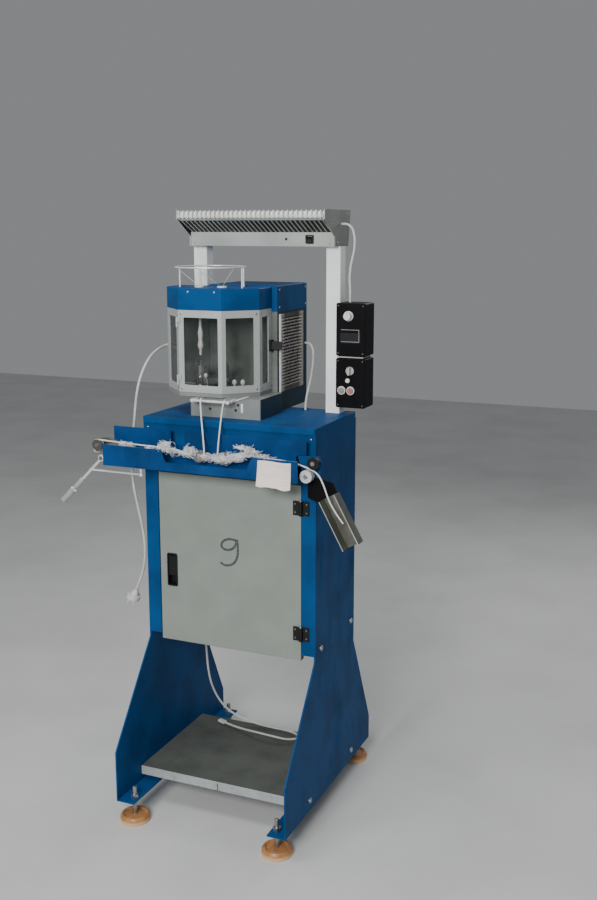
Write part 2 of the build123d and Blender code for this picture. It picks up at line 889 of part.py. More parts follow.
# Dancer arm: hub, rod and a loose-fitting sleeve that the cord leaves by
arm_direction = Vector(math.cos(math.radians(dancer_angle)), 0, math.sin(math.radians(dancer_angle)))
arm_pivot = Vector(dancer_pivot[0], wheel_y, dancer_pivot[1])
with BuildPart() as dancer_arm:
    disc(front_plane(wheel_y + wheel_width / 2), dancer_pivot, 9, wheel_width)
    arm_plane = Plane(origin=arm_pivot + arm_direction * 7, z_dir=arm_direction)
    disc(arm_plane, (0, 0), dancer_rod_radius, dancer_reach - 7)
    sleeve_plane = Plane(
        origin=arm_pivot + arm_direction * (dancer_reach - 10),
        z_dir=arm_direction,
    )
    disc(sleeve_plane, (0, 0), dancer_sleeve_radius, dancer_sleeve_length)
    bore_plane = Plane(
        origin=arm_pivot + arm_direction * (dancer_reach + dancer_sleeve_length - 10),
        z_dir=-arm_direction,
    )
    disc(bore_plane, (0, 0), dancer_sleeve_radius - 2, dancer_sleeve_length - 14, Mode.SUBTRACT)
    disc(
        front_plane(wheel_y + wheel_width / 2),
        dancer_pivot,
        wheel_bore,
        wheel_width,
        Mode.SUBTRACT,
    )
dancer_arm.part.label = "dancer_arm"
export_step(dancer_arm.part, "parts/dancer_arm.step")

# Thin rod under the tray, with a ball end below its boss
with BuildPart() as guide_rod:
    disc(
        Plane.YZ.offset(guide_rod_left),
        (guide_rod_y, guide_rod_z),
        guide_rod_radius,
        guide_rod_right - guide_rod_left,
    )
    disc(level(guide_rod_z), (guide_rod_right, guide_rod_y), 4, tray_bottom - guide_rod_z)
    with Locations((guide_rod_right, guide_rod_y, guide_rod_z)):
        Sphere(6)
# Chute: a folded channel, open to the front, that leads the cord down and out to the right
slope = math.radians(chute_angle)
chute_along = (math.cos(slope), math.sin(slope))
chute_across = (-math.sin(slope), math.cos(slope))


def chute_point(along, across):
    return (
        chute_top[0] + chute_along[0] * along + chute_across[0] * across,
        chute_top[1] + chute_along[1] * along + chute_across[1] * across,
    )


half_chute = chute_width / 2
with BuildPart() as chute:
    prism(
        front_plane(outlet_plate_front),
        [
            chute_point(0, -half_chute),
            chute_point(0, half_chute),
            chute_point(chute_length, half_chute),
            chute_point(chute_length, -half_chute),
        ],
        chute_depth,
    )
    prism(
        front_plane(outlet_plate_front - chute_sheet),
        [
            chute_point(0, -half_chute + chute_sheet),
            chute_point(0, half_chute - chute_sheet),
            chute_point(chute_length, half_chute - chute_sheet),
            chute_point(chute_length, -half_chute + chute_sheet),
        ],
        chute_depth,
        Mode.SUBTRACT,
    )
chute.part.label = "chute"
export_step(chute.part, "parts/chute.step")

# Slip of paper on the front of the tray
note_x = (tray_right - 107, tray_right - 17)
note_z = (926.0, 996.0)
note_thickness = 0.8
with BuildPart() as paper_note:
    slab(note_x, (tray_front - note_thickness, tray_front), note_z)
paper_note.part.label = "paper_note"
export_step(paper_note.part, "parts/paper_note.step")

# Knitting head: a cast block with a bed flange of the guard's plan, bored for the two cylinders
guard_plan = [
    (guard_left, head_rear),
    (guard_left, guard_front + guard_bevel),
    (guard_left + guard_bevel, guard_front),
    (guard_right - guard_bevel, guard_front),
    (guard_right, guard_front + guard_bevel),
    (guard_right, head_rear),
]
left_head = (heads_x - cylinder_spacing / 2, heads_y)
right_head = (heads_x + cylinder_spacing / 2, heads_y)
gear_bottom = guard_bottom + gear_rest_gap
gear_pitch_radius = gear_module * gear_teeth / 2
pinion_pitch_radius = gear_module * pinion_teeth / 2
drive_shaft_centre = (right_head[0], heads_y + gear_pitch_radius + pinion_pitch_radius)
motor_centre = (drive_shaft_centre[0], motor_y)
bed_bottom = guard_bottom - head_flange
pocket_half_width = 30.0
pocket_top = 1104.0
pocket_bottom = 1076.0
shaft_radius = 5.0
exit_holes = ((-88.0, 1109.0), (-20.0, 1109.0))
exit_radius = 6.0
with BuildPart() as head_block:
    slab((head_left, head_right), (head_front, head_rear), (table_top_z, bed_bottom))
    fillet(head_block.edges().filter_by(Axis.Z), radius=5)
    prism(level(bed_bottom), guard_plan, head_flange)
    for centre in (left_head, right_head):
        disc(level(bed_bottom), centre, journal_radius + journal_clearance, head_flange, Mode.SUBTRACT)
    slab(
        (drive_shaft_centre[0] - pocket_half_width, drive_shaft_centre[0] + pocket_half_width),
        (drive_shaft_centre[1] - 25, head_rear),
        (pocket_bottom, pocket_top),
        Mode.SUBTRACT,
    )
    disc(
        level(pocket_top - 1),
        drive_shaft_centre,
        shaft_radius + journal_clearance,
        guard_bottom - pocket_top + 1,
        Mode.SUBTRACT,
    )
    for centre in exit_holes:
        disc(front_plane(head_front + 14), centre, exit_radius, 14, Mode.SUBTRACT)
head_block.part.label = "head_block"
export_step(head_block.part, "parts/head_block.step")

# Rod across the front of the block, over which the cords leave
with BuildPart() as cord_guide_rod:
    disc(Plane.YZ.offset(cord_rod_left), (cord_rod_y, cord_rod_z), cord_rod_radius, cord_rod_right - cord_rod_left)
    for x in (cord_rod_left + 5, cord_rod_right - 5):
        disc(front_plane(head_front), (x, cord_rod_z), cord_rod_radius + 1, head_front - cord_rod_y + 3)
rods = Compound(
    label="axles_and_rods",
    children=wheel_axles.part.solids() + guide_rod.part.solids() + cord_guide_rod.part.solids(),
)
export_step(rods, "parts/axles_and_rods.step")


# Outline of one tooth along +X, with its flanks on the involute of a 20 degree rack
def tooth_outline(teeth):
    pitch_radius = gear_module * teeth / 2
    base_radius = pitch_radius * math.cos(math.radians(20))
    root_radius = pitch_radius - gear_module
    tip_radius = pitch_radius + 0.8 * gear_module
    pitch_involute = math.tan(math.radians(20)) - math.radians(20)

    def half_angle(radius):
        pressure = math.acos(min(1.0, base_radius / radius))
        involute = math.tan(pressure) - pressure
        return math.pi / 2 / teeth * (1 - gear_backlash) + pitch_involute - involute

    flank = [root_radius, max(base_radius, root_radius + 0.1), tip_radius]
    upper = [(r * math.cos(half_angle(r)), r * math.sin(half_angle(r))) for r in flank]
    lower = [(x, -y) for x, y in reversed(upper)]
    return upper + lower


# A gear blank with teeth, its first tooth turned by the given number of degrees
def gear_ring(centre, z, teeth, width, turn):
    root_radius = gear_module * (teeth / 2 - 1)
    with BuildSketch(Plane.XY, mode=Mode.PRIVATE) as tooth:
        with BuildLine():
            Polyline(*tooth_outline(teeth), close=True)
        make_face()
    with BuildSketch(level(z)) as outline:
        with Locations(centre):
            Circle(root_radius + 0.05)
            with PolarLocations(0, teeth, start_angle=turn):
                add(tooth.sketch)
    extrude(outline.sketch, amount=width)


# Needle cylinder in one piece with its gear, hollow, with slots and needles round its upper edge
def needle_cylinder(centre, turn):
    gear_ring(centre, gear_bottom, gear_teeth, gear_width, turn)
    disc(level(bed_bottom), centre, journal_radius, gear_bottom - bed_bottom)
    disc(level(gear_bottom), centre, cylinder_radius, cylinder_top - gear_bottom)
    disc(level(bed_bottom), centre, cylinder_bore, cylinder_top - bed_bottom, Mode.SUBTRACT)
    with BuildSketch(level(cam_top + 2)) as slots:
        with Locations(centre):
            with PolarLocations(cylinder_radius, needle_count):
                Rectangle(3, 1.6)
    extrude(slots.sketch, amount=cylinder_top - cam_top, mode=Mode.SUBTRACT)
    with BuildSketch(level(cylinder_top - 6)) as needles:
        with Locations(centre):
            with PolarLocations(cylinder_radius - 2.4, needle_count):
                Rectangle(2 * needle_radius, 2 * needle_radius)
    extrude(needles.sketch, amount=6 + needle_length)


with BuildPart() as left_needle_cylinder:
    needle_cylinder(left_head, 0)
left_needle_cylinder.part.label = "left_needle_cylinder"
export_step(left_needle_cylinder.part, "parts/left_needle_cylinder.step")

with BuildPart() as right_needle_cylinder:
    needle_cylinder(right_head, 180 / gear_teeth)
right_needle_cylinder.part.label = "right_needle_cylinder"
export_step(right_needle_cylinder.part, "parts/right_needle_cylinder.step")

# Drive shaft: pinion above the bed, belt pulley in the pocket below it
with BuildPart() as drive_shaft:
    gear_ring(drive_shaft_centre, gear_bottom, pinion_teeth, gear_width, -90)
    disc(level(belt_z + belt_width), drive_shaft_centre, shaft_radius, gear_bottom - belt_z - belt_width)
    disc(level(belt_z - 1.5), drive_shaft_centre, belt_pulley_radius, belt_width + 3)
drive_shaft.part.label = "drive_shaft"
export_step(drive_shaft.part, "parts/drive_shaft.step")

# Cam housing: one bridge around both cylinders, on two posts
cam_outer = cylinder_radius + cam_clearance + cam_wall
with BuildPart() as cam_housing:
    with BuildSketch(level(cam_bottom)) as bridge:
        with Locations((heads_x, heads_y)):
            SlotCenterToCenter(cylinder_spacing, 2 * cam_outer)
        with Locations((heads_x, sum(cam_posts_y) / 2)):
            RectangleRounded(20, cam_posts_y[1] - cam_posts_y[0] + 16, 6)
        with Locations(left_head, right_head):
            Circle(cylinder_radius + cam_clearance, mode=Mode.SUBTRACT)
    extrude(amount=cam_top - cam_bottom)
    for y in cam_posts_y:
        disc(level(guard_bottom), (heads_x, y), cam_post_radius, cam_bottom - guard_bottom)
cam_housing.part.label = "cam_housing"
export_step(cam_housing.part, "parts/cam_housing.step")

# Glazed guard: a fixed left part and a door that is hinged at the left of the front facet
guard_split = guard_left + guard_bevel
guard_low = guard_bottom + 0.5
guard_high = guard_top - 0.5
guard_hinge = (guard_split - 2, guard_front - 2.5)
guard_hinge_radius = 3.2
guard_hinge_z = ((1150.0, 1176.0), (1300.0, 1326.0))


# Bent sheet that follows a run of the guard's plan
def guard_wall(points, thickness):
    with BuildSketch(level(guard_low)) as plan:
        with BuildLine():
            Polyline(*points)
            offset(amount=thickness, side=Side.LEFT, kind=Kind.INTERSECTION)
        make_face()
    extrude(plan.sketch, amount=guard_high - guard_low)


# Plane that stands on a straight run of the plan, looking outward, its origin at mid-height
def facet_plane(start, end):
    middle = ((start[0] + end[0]) / 2, (start[1] + end[1]) / 2, (guard_low + guard_high) / 2)
    run = Vector(end[0] - start[0], end[1] - start[1], 0)
    return Plane(origin=middle, x_dir=run, z_dir=run.cross(Vector(0, 0, 1)))


def run_length(start, end):
    return math.hypot(end[0] - start[0], end[1] - start[1])


# Window through one facet, from its outer face inward
def guard_window(start, end, left_margin, right_margin):
    width = run_length(start, end) - left_margin - right_margin
    with BuildSketch(facet_plane(start, end)) as window:
        with Locations(((left_margin - right_margin) / 2, 0)):
            RectangleRounded(width, guard_high - guard_low - 2 * guard_rail, 3)
    extrude(window.sketch, amount=-2 * guard_sheet, mode=Mode.SUBTRACT)


# Pane that lies against the inner face of one facet, with its edge behind the frame
def guard_pane(start, end, left_margin, right_margin):
    width = run_length(start, end) - left_margin - right_margin + 2 * pane_edge
    plane = facet_plane(start, end)
    with BuildSketch(plane.offset(-guard_sheet)) as pane:
        with Locations(((left_margin - right_margin) / 2, 0)):
            Rectangle(width, guard_high - guard_low - 2 * guard_rail + 2 * pane_edge)
    extrude(pane.sketch, amount=-pane_sheet)


fixed_runs = [(guard_plan[0], guard_plan[1]), (guard_plan[1], guard_plan[2])]
door_runs = [(guard_plan[2], guard_plan[3]), (guard_plan[3], guard_plan[4]), (guard_plan[4], guard_plan[5])]
half_gap = 0.3
with BuildPart() as guard_frame:
    guard_wall(guard_plan[0:3], guard_sheet)
    slab(
        (guard_split - half_gap, guard_split + 10),
        (guard_front - 5, guard_front + 20),
        (guard_low, guard_high),
        Mode.SUBTRACT,
    )
    for start, end in fixed_runs:
        guard_window(start, end, guard_stile, guard_stile)
    for low, high in guard_hinge_z:
        prism(
            level(low),
            [
                (guard_hinge[0] - 1, guard_hinge[1] - 2),
                (guard_hinge[0] + 1, guard_hinge[1] + 2),
                (guard_split - 2, guard_front + 3),
                (guard_split - 10, guard_front + 12),
                (guard_split - 12, guard_front + 10),
            ],
            (high - low) / 2 - 0.2,
        )
        disc(level(low), guard_hinge, guard_hinge_radius, (high - low) / 2 - 0.2)
        disc(level(low), guard_hinge, 1.5, high - low)
guard_frame.part.label = "guard_frame"
export_step(guard_frame.part, "parts/guard_frame.step")

with BuildPart() as guard_door:
    guard_wall(guard_plan[2:6], guard_sheet)
    slab(
        (guard_split - 10, guard_split + half_gap),
        (guard_front - 5, guard_front + 20),
        (guard_low, guard_high),
        Mode.SUBTRACT,
    )
    slab(
        (guard_right - 5, guard_right + 5),
        (head_rear - 0.5, head_rear + 5),
        (guard_low, guard_high),
        Mode.SUBTRACT,
    )
    guard_window(*door_runs[0], guard_stile, guard_mullion)
    guard_window(*door_runs[1], guard_mullion, guard_stile)
    guard_window(*door_runs[2], guard_stile, guard_stile + 6)
    for low, high in guard_hinge_z:
        middle = (low + high) / 2
        slab(
            (guard_hinge[0], guard_split + 8),
            (guard_hinge[1] - 1, guard_front),
            (middle + 0.2, high),
        )
        disc(level(middle + 0.2), guard_hinge, guard_hinge_radius, high - middle - 0.2)
        disc(level(middle), guard_hinge, 1.55, high - middle + 1, Mode.SUBTRACT)
guard_door.part.label = "guard_door"
export_step(guard_door.part, "parts/guard_door.step")

with BuildPart() as guard_frame_panes:
    for start, end in fixed_runs:
        guard_pane(start, end, guard_stile, guard_stile)
guard_frame_panes.part.label = "guard_frame_panes"
export_step(guard_frame_panes.part, "parts/guard_frame_panes.step")

with BuildPart() as guard_door_panes:
    guard_pane(*door_runs[0], guard_stile, guard_mullion)
    guard_pane(*door_runs[1], guard_mullion, guard_stile)
    guard_pane(*door_runs[2], guard_stile, guard_stile + 6)
guard_door_panes.part.label = "guard_door_panes"
export_step(guard_door_panes.part, "parts/guard_door_panes.step")

# Black latch on the guard door's right side, with its grip out to the right
with BuildPart() as guard_latch:
    slab((guard_right, guard_right + 6), (head_rear - 20, head_rear - 3), (1233, 1262))
    prism(
        level(1237),
        [
            (guard_right + 6, head_rear - 16),
            (guard_right + 33, head_rear - 12),
            (guard_right + 33, head_rear - 6),
            (guard_right + 6, head_rear - 4),
        ],
        21,
    )
guard_latch.part.label = "guard_latch"
export_step(guard_latch.part, "parts/guard_latch.step")

# Cap over the guard: a folded hood with two inlets above the cylinders
with BuildPart() as cap:
    prism(level(guard_top), guard_plan, cap_top - guard_top)
    fillet(cap.faces().sort_by(Axis.Z)[-1].edges(), radius=3)
    offset(amount=-cap_sheet, openings=cap.faces().sort_by(Axis.Z)[0])
    for centre in (left_head, right_head):
        disc(level(cap_top - 5), centre, feed_tube_radius, 10, Mode.SUBTRACT)
cap.part.label = "cap"
export_step(cap.part, "parts/cap.step")


# Yarn feed: inlet disc on the cap, tube down to the needles, and a swollen sleeve on the tube
def yarn_feed(centre):
    disc(level(cap_top), centre, feed_disc_radius, feed_disc_height)
    disc(level(feed_tube_end), centre, feed_tube_radius, cap_top - feed_tube_end)
    with BuildSketch(Plane.XZ) as profile:
        with BuildLine():
            Polyline(
                (0, feed_sleeve[0]),
                (feed_sleeve_radius - 2, feed_sleeve[0]),
                (feed_sleeve_radius, feed_sleeve[0] + 8),
                (feed_sleeve_radius - 3, feed_sleeve[0] + 22),
                (feed_sleeve_radius - 1, feed_sleeve[0] + 40),
                (feed_tube_radius, feed_sleeve[1]),
                (0, feed_sleeve[1]),
                close=True,
            )
        make_face()
    sleeve = revolve(profile.sketch, axis=Axis.Z, mode=Mode.PRIVATE)
    with Locations((centre[0], centre[1], 0)):
        add(sleeve)
    disc(
        level(feed_tube_end),
        centre,
        feed_bore_radius,
        cap_top + feed_disc_height - feed_tube_end,
        Mode.SUBTRACT,
    )


with BuildPart() as yarn_feeds:
    yarn_feed(left_head)
    yarn_feed(right_head)
# Wire ring that spreads the yarns above the cap, welded on top of four posts
with BuildPart() as crown_ring:
    with Locations((heads_x, heads_y, crown_z)):
        Torus(crown_radius, crown_wire)
with BuildPart() as crown_posts:
    for angle in crown_post_angles:
        x = heads_x + crown_radius * math.cos(math.radians(angle))
        y = heads_y + crown_radius * math.sin(math.radians(angle))
        disc(level(cap_top), (x, y), crown_post_radius, crown_z - crown_wire - cap_top)
yarn_guides = Compound(
    label="yarn_guides",
    children=yarn_feeds.part.solids() + crown_ring.part.solids() + crown_posts.part.solids(),
)
export_step(yarn_guides, "parts/yarn_guides.step")

# Drive housing behind the guard, open to the belt pocket and behind the louvre
with BuildPart() as housing_shell:
    slab((housing_left, housing_right), (head_rear, housing_rear), (table_top_z, housing_split))
    fillet(housing_shell.edges().filter_by(Axis.Z), radius=4)
    offset(amount=-housing_wall, openings=housing_shell.faces().sort_by(Axis.Z)[-1])
    slab(
        (housing_right - housing_wall, housing_right),
        (louvre_front + louvre_frame / 2, louvre_rear - louvre_frame / 2),
        (louvre_bottom + louvre_frame / 2, louvre_top - louvre_frame / 2),
        Mode.SUBTRACT,
    )
    slab(
        (drive_shaft_centre[0] - pocket_half_width, drive_shaft_centre[0] + pocket_half_width),
        (head_rear, head_rear + housing_wall),
        (pocket_bottom, pocket_top),
        Mode.SUBTRACT,
    )
    slab(
        (housing_left + housing_wall / 2, housing_right - housing_wall / 2),
        (motor_y - motor_bracket_reach, motor_y + motor_bracket_reach),
        (motor_bracket_z, motor_bracket_z + motor_bracket_sheet),
    )
    disc(level(motor_bracket_z), motor_centre, 20, motor_bracket_sheet, Mode.SUBTRACT)
housing_shell.part.label = "housing_shell"
export_step(housing_shell.part, "parts/housing_shell.step")

with BuildPart() as housing_lid:
    slab((housing_left, housing_right), (head_rear, housing_rear), (housing_split, housing_top))
    fillet(housing_lid.edges().filter_by(Axis.Z), radius=4)
    fillet(housing_lid.faces().sort_by(Axis.Z)[-1].edges(), radius=2.5)
    offset(amount=-housing_wall, openings=housing_lid.faces().sort_by(Axis.Z)[0])
housing_lid.part.label = "housing_lid"
export_step(housing_lid.part, "parts/housing_lid.step")

# Louvre panel: a frame with slanted slats, screwed to the housing's right wall
slat_pitch = (louvre_top - louvre_bottom - 2 * louvre_frame) / slat_count
with BuildPart() as louvre_panel:
    slab(
        (housing_right, housing_right + louvre_sheet),
        (louvre_front, louvre_rear),
        (louvre_bottom, louvre_top),
    )
    slab(
        (housing_right, housing_right + louvre_sheet),
        (louvre_front + louvre_frame, louvre_rear - louvre_frame),
        (louvre_bottom + louvre_frame, louvre_top - louvre_frame),
        Mode.SUBTRACT,
    )
    for index in range(slat_count):
        z = louvre_bottom + louvre_frame + (index + 0.04) * slat_pitch
        prism(
            front_plane(louvre_rear - louvre_frame),
            [
                (housing_right, z + 0.62 * slat_pitch),
                (housing_right + louvre_sheet, z),
                (housing_right + louvre_sheet, z + 0.3 * slat_pitch),
                (housing_right, z + 0.92 * slat_pitch),
            ],
            louvre_rear - louvre_front - 2 * louvre_frame,
        )
louvre_panel.part.label = "louvre_panel"
export_step(louvre_panel.part, "parts/louvre_panel.step")

# Drive motor, standing on the bracket that is welded across the housing
motor_base = motor_bracket_z + motor_bracket_sheet
with BuildPart() as drive_motor:
    disc(level(motor_base), motor_centre, motor_radius, motor_height)
    fillet(drive_motor.faces().sort_by(Axis.Z)[-1].edges(), radius=6)
    disc(level(motor_base), motor_centre, shaft_radius + journal_clearance, 25, Mode.SUBTRACT)
    with BuildSketch(level(motor_base + 20)) as fins:
        with Locations(motor_centre):
            with PolarLocations(motor_radius, motor_fin_count):
                Rectangle(7, 4)
    extrude(fins.sketch, amount=motor_height - 50, mode=Mode.SUBTRACT)
drive_motor.part.label = "drive_motor"
export_step(drive_motor.part, "parts/drive_motor.step")

with BuildPart() as motor_pulley:
    disc(level(belt_z - 1.5), motor_centre, belt_pulley_radius, belt_width + 3)
    disc(level(belt_z), motor_centre, shaft_radius, motor_base + 24 - belt_z)
motor_pulley.part.label = "motor_pulley"
export_step(motor_pulley.part, "parts/motor_pulley.step")

# Belt around the two pulleys, with a small running clearance
belt_clearance = 0.3
belt_thickness = 2.0
belt_middle = (motor_centre[1] + drive_shaft_centre[1]) / 2
belt_centres = motor_centre[1] - drive_shaft_centre[1]
with BuildPart() as drive_belt:
    with BuildSketch(level(belt_z)) as loop:
        with Locations((motor_centre[0], belt_middle)):
            SlotCenterToCenter(
                belt_centres, 2 * (belt_pulley_radius + belt_clearance + belt_thickness), rotation=90
            )
            SlotCenterToCenter(
                belt_centres,
                2 * (belt_pulley_radius + belt_clearance),
                rotation=90,
                mode=Mode.SUBTRACT,
            )
    extrude(amount=belt_width)
drive_belt.part.label = "drive_belt"
export_step(drive_belt.part, "parts/drive_belt.step")

# Gantry: two square tubes and the stop motion trough on top of them
with BuildPart() as gantry_posts:
    with BuildSketch(level(table_top_z)) as tubes:
        with Locations((-post_x, post_y), (post_x, post_y)):
            RectangleRounded(post_size, post_size, 3)
            Rectangle(post_size - 2 * post_wall, post_size - 2 * post_wall, mode=Mode.SUBTRACT)
    extrude(amount=trough_bottom - table_top_z)
gantry_posts.part.label = "gantry_posts"
export_step(gantry_posts.part, "parts/gantry_posts.step")

trough_section = [
    (95, trough_bottom),
    (95, trough_bottom + 36),
    (32, trough_bottom + 66),
    (25, trough_bottom + 72),
    (25, trough_top),
    (200, trough_top),
    (185, trough_bottom),
]
end_plate_section = [
    (92, trough_bottom),
    (92, trough_bottom + 25),
    (20, trough_bottom + 69),
    (20, trough_top + 5),
    (203, trough_top + 5),
    (188, trough_bottom),
]
with BuildPart() as stop_motion_trough:
    prism(Plane.YZ.offset(-trough_half_length), trough_section, 2 * trough_half_length)
    for x in (-trough_half_length - end_plate_sheet, trough_half_length):
        prism(
            Plane.YZ.offset(x),
            end_plate_section,
            end_plate_sheet,
        )
stop_motion_trough.part.label = "stop_motion_trough"
export_step(stop_motion_trough.part, "parts/stop_motion_trough.step")

# Row of yarn eyelets along the upper lip, and the drop wires below them
comb_rear = 25.0
comb_front = 19.0
comb_tip = 15.0
comb_rail_z = (trough_top - 14, trough_top - 8)
tooth_z = (trough_top - 16, trough_top + 3)
tooth_width = 4.0
wire_width = 1.5
wire_section = [
    (34, trough_bottom + 64.9),
    (93, trough_bottom + 36.8),
    (92.4, trough_bottom + 35.5),
    (33.4, trough_bottom + 63.6),
]
tooth_places = [(index - (tooth_count - 1) / 2) * tooth_pitch for index in range(tooth_count)]
with BuildPart() as yarn_comb:
    slab((1 - trough_half_length, trough_half_length - 1), (comb_front, comb_rear), comb_rail_z)
    for x in tooth_places:
        tooth = (x - tooth_width / 2, x + tooth_width / 2)
        slab(tooth, (comb_tip, comb_front), tooth_z)
        slab(tooth, (comb_front, comb_rear), (comb_rail_z[1], tooth_z[1]))
with BuildPart() as drop_wires:
    for x in tooth_places:
        prism(Plane.YZ.offset(x - wire_width / 2), wire_section, wire_width)
comb_and_wires = Compound(
    label="yarn_comb",
    children=yarn_comb.part.solids() + drop_wires.part.solids(),
)
export_step(comb_and_wires, "parts/yarn_comb.step")

# Rocker switch in its frame on the trough's front face
rocker_pivot = (90.0, rocker_centre[1])
with BuildPart() as rocker_frame:
    with BuildSketch(front_plane(95)) as frame:
        with Locations(rocker_centre):
            RectangleRounded(22, 22, 2)
            Rectangle(15, 17, mode=Mode.SUBTRACT)
    extrude(amount=5)
rocker_tilt = math.radians(8)
rocker_plane = Plane(
    origin=(rocker_centre[0] - 7, *rocker_pivot),
    x_dir=(0, math.cos(rocker_tilt), math.sin(rocker_tilt)),
    z_dir=(1, 0, 0),
)
with BuildPart() as rocker_switch:
    prism(rocker_plane, [(3, 6), (-4, 7.5), (-1.5, 0), (-4, -7.5), (3, -6)], 14)
rocker_switch.part.label = "rocker_switch"
export_step(rocker_switch.part, "parts/rocker_switch.step")


# Control boxes on the right-hand post
def control_box(zs):
    slab((box_left, box_right), (box_front, box_rear), zs)


with BuildPart() as speed_box:
    control_box(speed_box_z)
    fillet(speed_box.edges().filter_by(Axis.Y), radius=box_corner)
    fillet(speed_box.faces().sort_by(Axis.Y)[0].edges(), radius=2)
    with BuildSketch(front_plane(box_front + 1.5)) as display:
        with Locations(display_centre):
            RectangleRounded(*display_size, 2)
    extrude(display.sketch, amount=3, mode=Mode.SUBTRACT)
    disc(front_plane(box_front + 12), speed_knob_centre, 3.05, 12, Mode.SUBTRACT)
with BuildPart() as display_window:
    with BuildSketch(front_plane(box_front + 1.5)) as display:
        with Locations(display_centre):
            RectangleRounded(display_size[0] - 0.4, display_size[1] - 0.4, 2)
    extrude(amount=1)
with BuildPart() as speed_knob:
    disc(front_plane(box_front - 0.3), speed_knob_centre, 13, 3)
    disc(front_plane(box_front - 3.3), speed_knob_centre, 10, 12)
    fillet(speed_knob.faces().sort_by(Axis.Y)[0].edges(), radius=1.5)
    disc(front_plane(box_front + 10), speed_knob_centre, 3, 10.5)
    slab(
        (speed_knob_centre[0] - 0.6, speed_knob_centre[0] + 0.6),
        (box_front - 15.6, box_front - 14.5),
        (speed_knob_centre[1] + 2, speed_knob_centre[1] + 9),
        Mode.SUBTRACT,
    )
speed_knob.part.label = "speed_knob"
export_step(speed_knob.part, "parts/speed_knob.step")

button_radius = 8.0
bezel_radius = 11.0
bezel_height = 3.0
cover_screw_z = 1106.0
with BuildPart() as button_box:
    control_box(button_box_z)
    fillet(button_box.edges().filter_by(Axis.Y), radius=box_corner)
    fillet(button_box.faces().sort_by(Axis.Y)[0].edges(), radius=2)
    disc(front_plane(box_front + 12), selector_centre, 4.05, 12, Mode.SUBTRACT)
    for centre in (green_button_centre, red_button_centre):
        disc(front_plane(box_front + 14), centre, button_radius + 0.1, 14, Mode.SUBTRACT)
    for x in cover_screw_x:
        disc(front_plane(box_front), (x, cover_screw_z), 3, 1.5)
control_boxes = Compound(
    label="control_boxes",
    children=speed_box.part.solids() + button_box.part.solids(),
)
export_step(control_boxes, "parts/control_boxes.step")

with BuildPart() as button_bezels:
    for centre in (green_button_centre, red_button_centre):
        with BuildSketch(front_plane(box_front)) as bezel:
            with Locations(centre):
                Circle(bezel_radius)
                Circle(button_radius + 0.1, mode=Mode.SUBTRACT)
        extrude(bezel.sketch, amount=bezel_height)
with BuildPart() as selector_switch:
    disc(front_plane(box_front - 0.3), selector_centre, 11, 3)
    disc(front_plane(box_front + 10), selector_centre, 4, 10.3)
    slab(
        (selector_centre[0] - 3, selector_centre[0] + 3),
        (box_front - 14, box_front - 3.3),
        (selector_centre[1] - 10, selector_centre[1] + 10),
    )
selector_switch.part.label = "selector_switch"
export_step(selector_switch.part, "parts/selector_switch.step")

with BuildPart() as signal_lamp:
    disc(front_plane(box_front), lamp_centre, 6, 5)
    fillet(signal_lamp.faces().sort_by(Axis.Y)[0].edges(), radius=2)
panel_fittings = Compound(
    label="panel_fittings",
    children=[
        *rocker_frame.part.solids(),
        *display_window.part.solids(),
        *button_bezels.part.solids(),
        *signal_lamp.part.solids(),
    ],
)
export_step(panel_fittings, "parts/panel_fittings.step")

with BuildPart() as start_button:
    disc(front_plane(box_front + 9), green_button_centre, button_radius, 16)
    fillet(start_button.faces().sort_by(Axis.Y)[0].edges(), radius=1)
start_button.part.label = "start_button"
export_step(start_button.part, "parts/start_button.step")

with BuildPart() as stop_button:
    disc(front_plane(box_front + 9), red_button_centre, button_radius, 16)
    fillet(stop_button.faces().sort_by(Axis.Y)[0].edges(), radius=1)
stop_button.part.label = "stop_button"
export_step(stop_button.part, "parts/stop_button.step")


# Tube along straight runs joined by tangent arcs, as large as the runs allow
def cord_tube(name, points, radius):
    corners = [Vector(*point) for point in points]
    radii = []
    for before, here, after in zip(corners, corners[1:], corners[2:]):
        turn = math.radians((here - before).get_angle(after - here))
        shorter = min((here - before).length, (after - here).length)
        radii.append(0.45 * shorter / math.tan(turn / 2))
    with BuildLine() as path:
        FilletPolyline(*corners, radius=radii)
    route = path.wires()[0]
    start = Plane(origin=route @ 0, z_dir=route % 0)
    with BuildPart() as tube:
        with BuildSketch(start):
            Circle(radius)
        sweep(path=route)
    expected = math.pi * radius**2 * route.length
    print(
        name,
        "length",
        round(route.length, 1),
        "least radius",
        round(min(radii), 1),
        "volume ratio",
        round(tube.part.volume / expected, 4),
    )
    return tube.part


# Mains lead, hanging over the left end of the table from a gland on the housing
lead_points = [
    (-176, 95, 1240),
    (-212, 95, 1240),
    (-250, 76, 1243),
    (-268, 30, 1236),
    (-262, -26, 1226),
    (-255, -76, 1207),
    (-262, -104, 1163),
    (-272, -108, 1110),
    (-279, -107, 1052),
    (-288, -108, 992),
    (-291, -109, 932),
    (-289, -107, 876),
    (-278, -106, 819),
    (-264, -108, 766),
    (-256, -109, 712),
    (-260, -107, 660),
    (-274, -106, 615),
    (-289, -107, 581),
]
with BuildPart() as mains_lead:
    add(cord_tube("mains_lead", lead_points, lead_radius))
mains_lead.part.label = "mains_lead"
export_step(mains_lead.part, "parts/mains_lead.step")

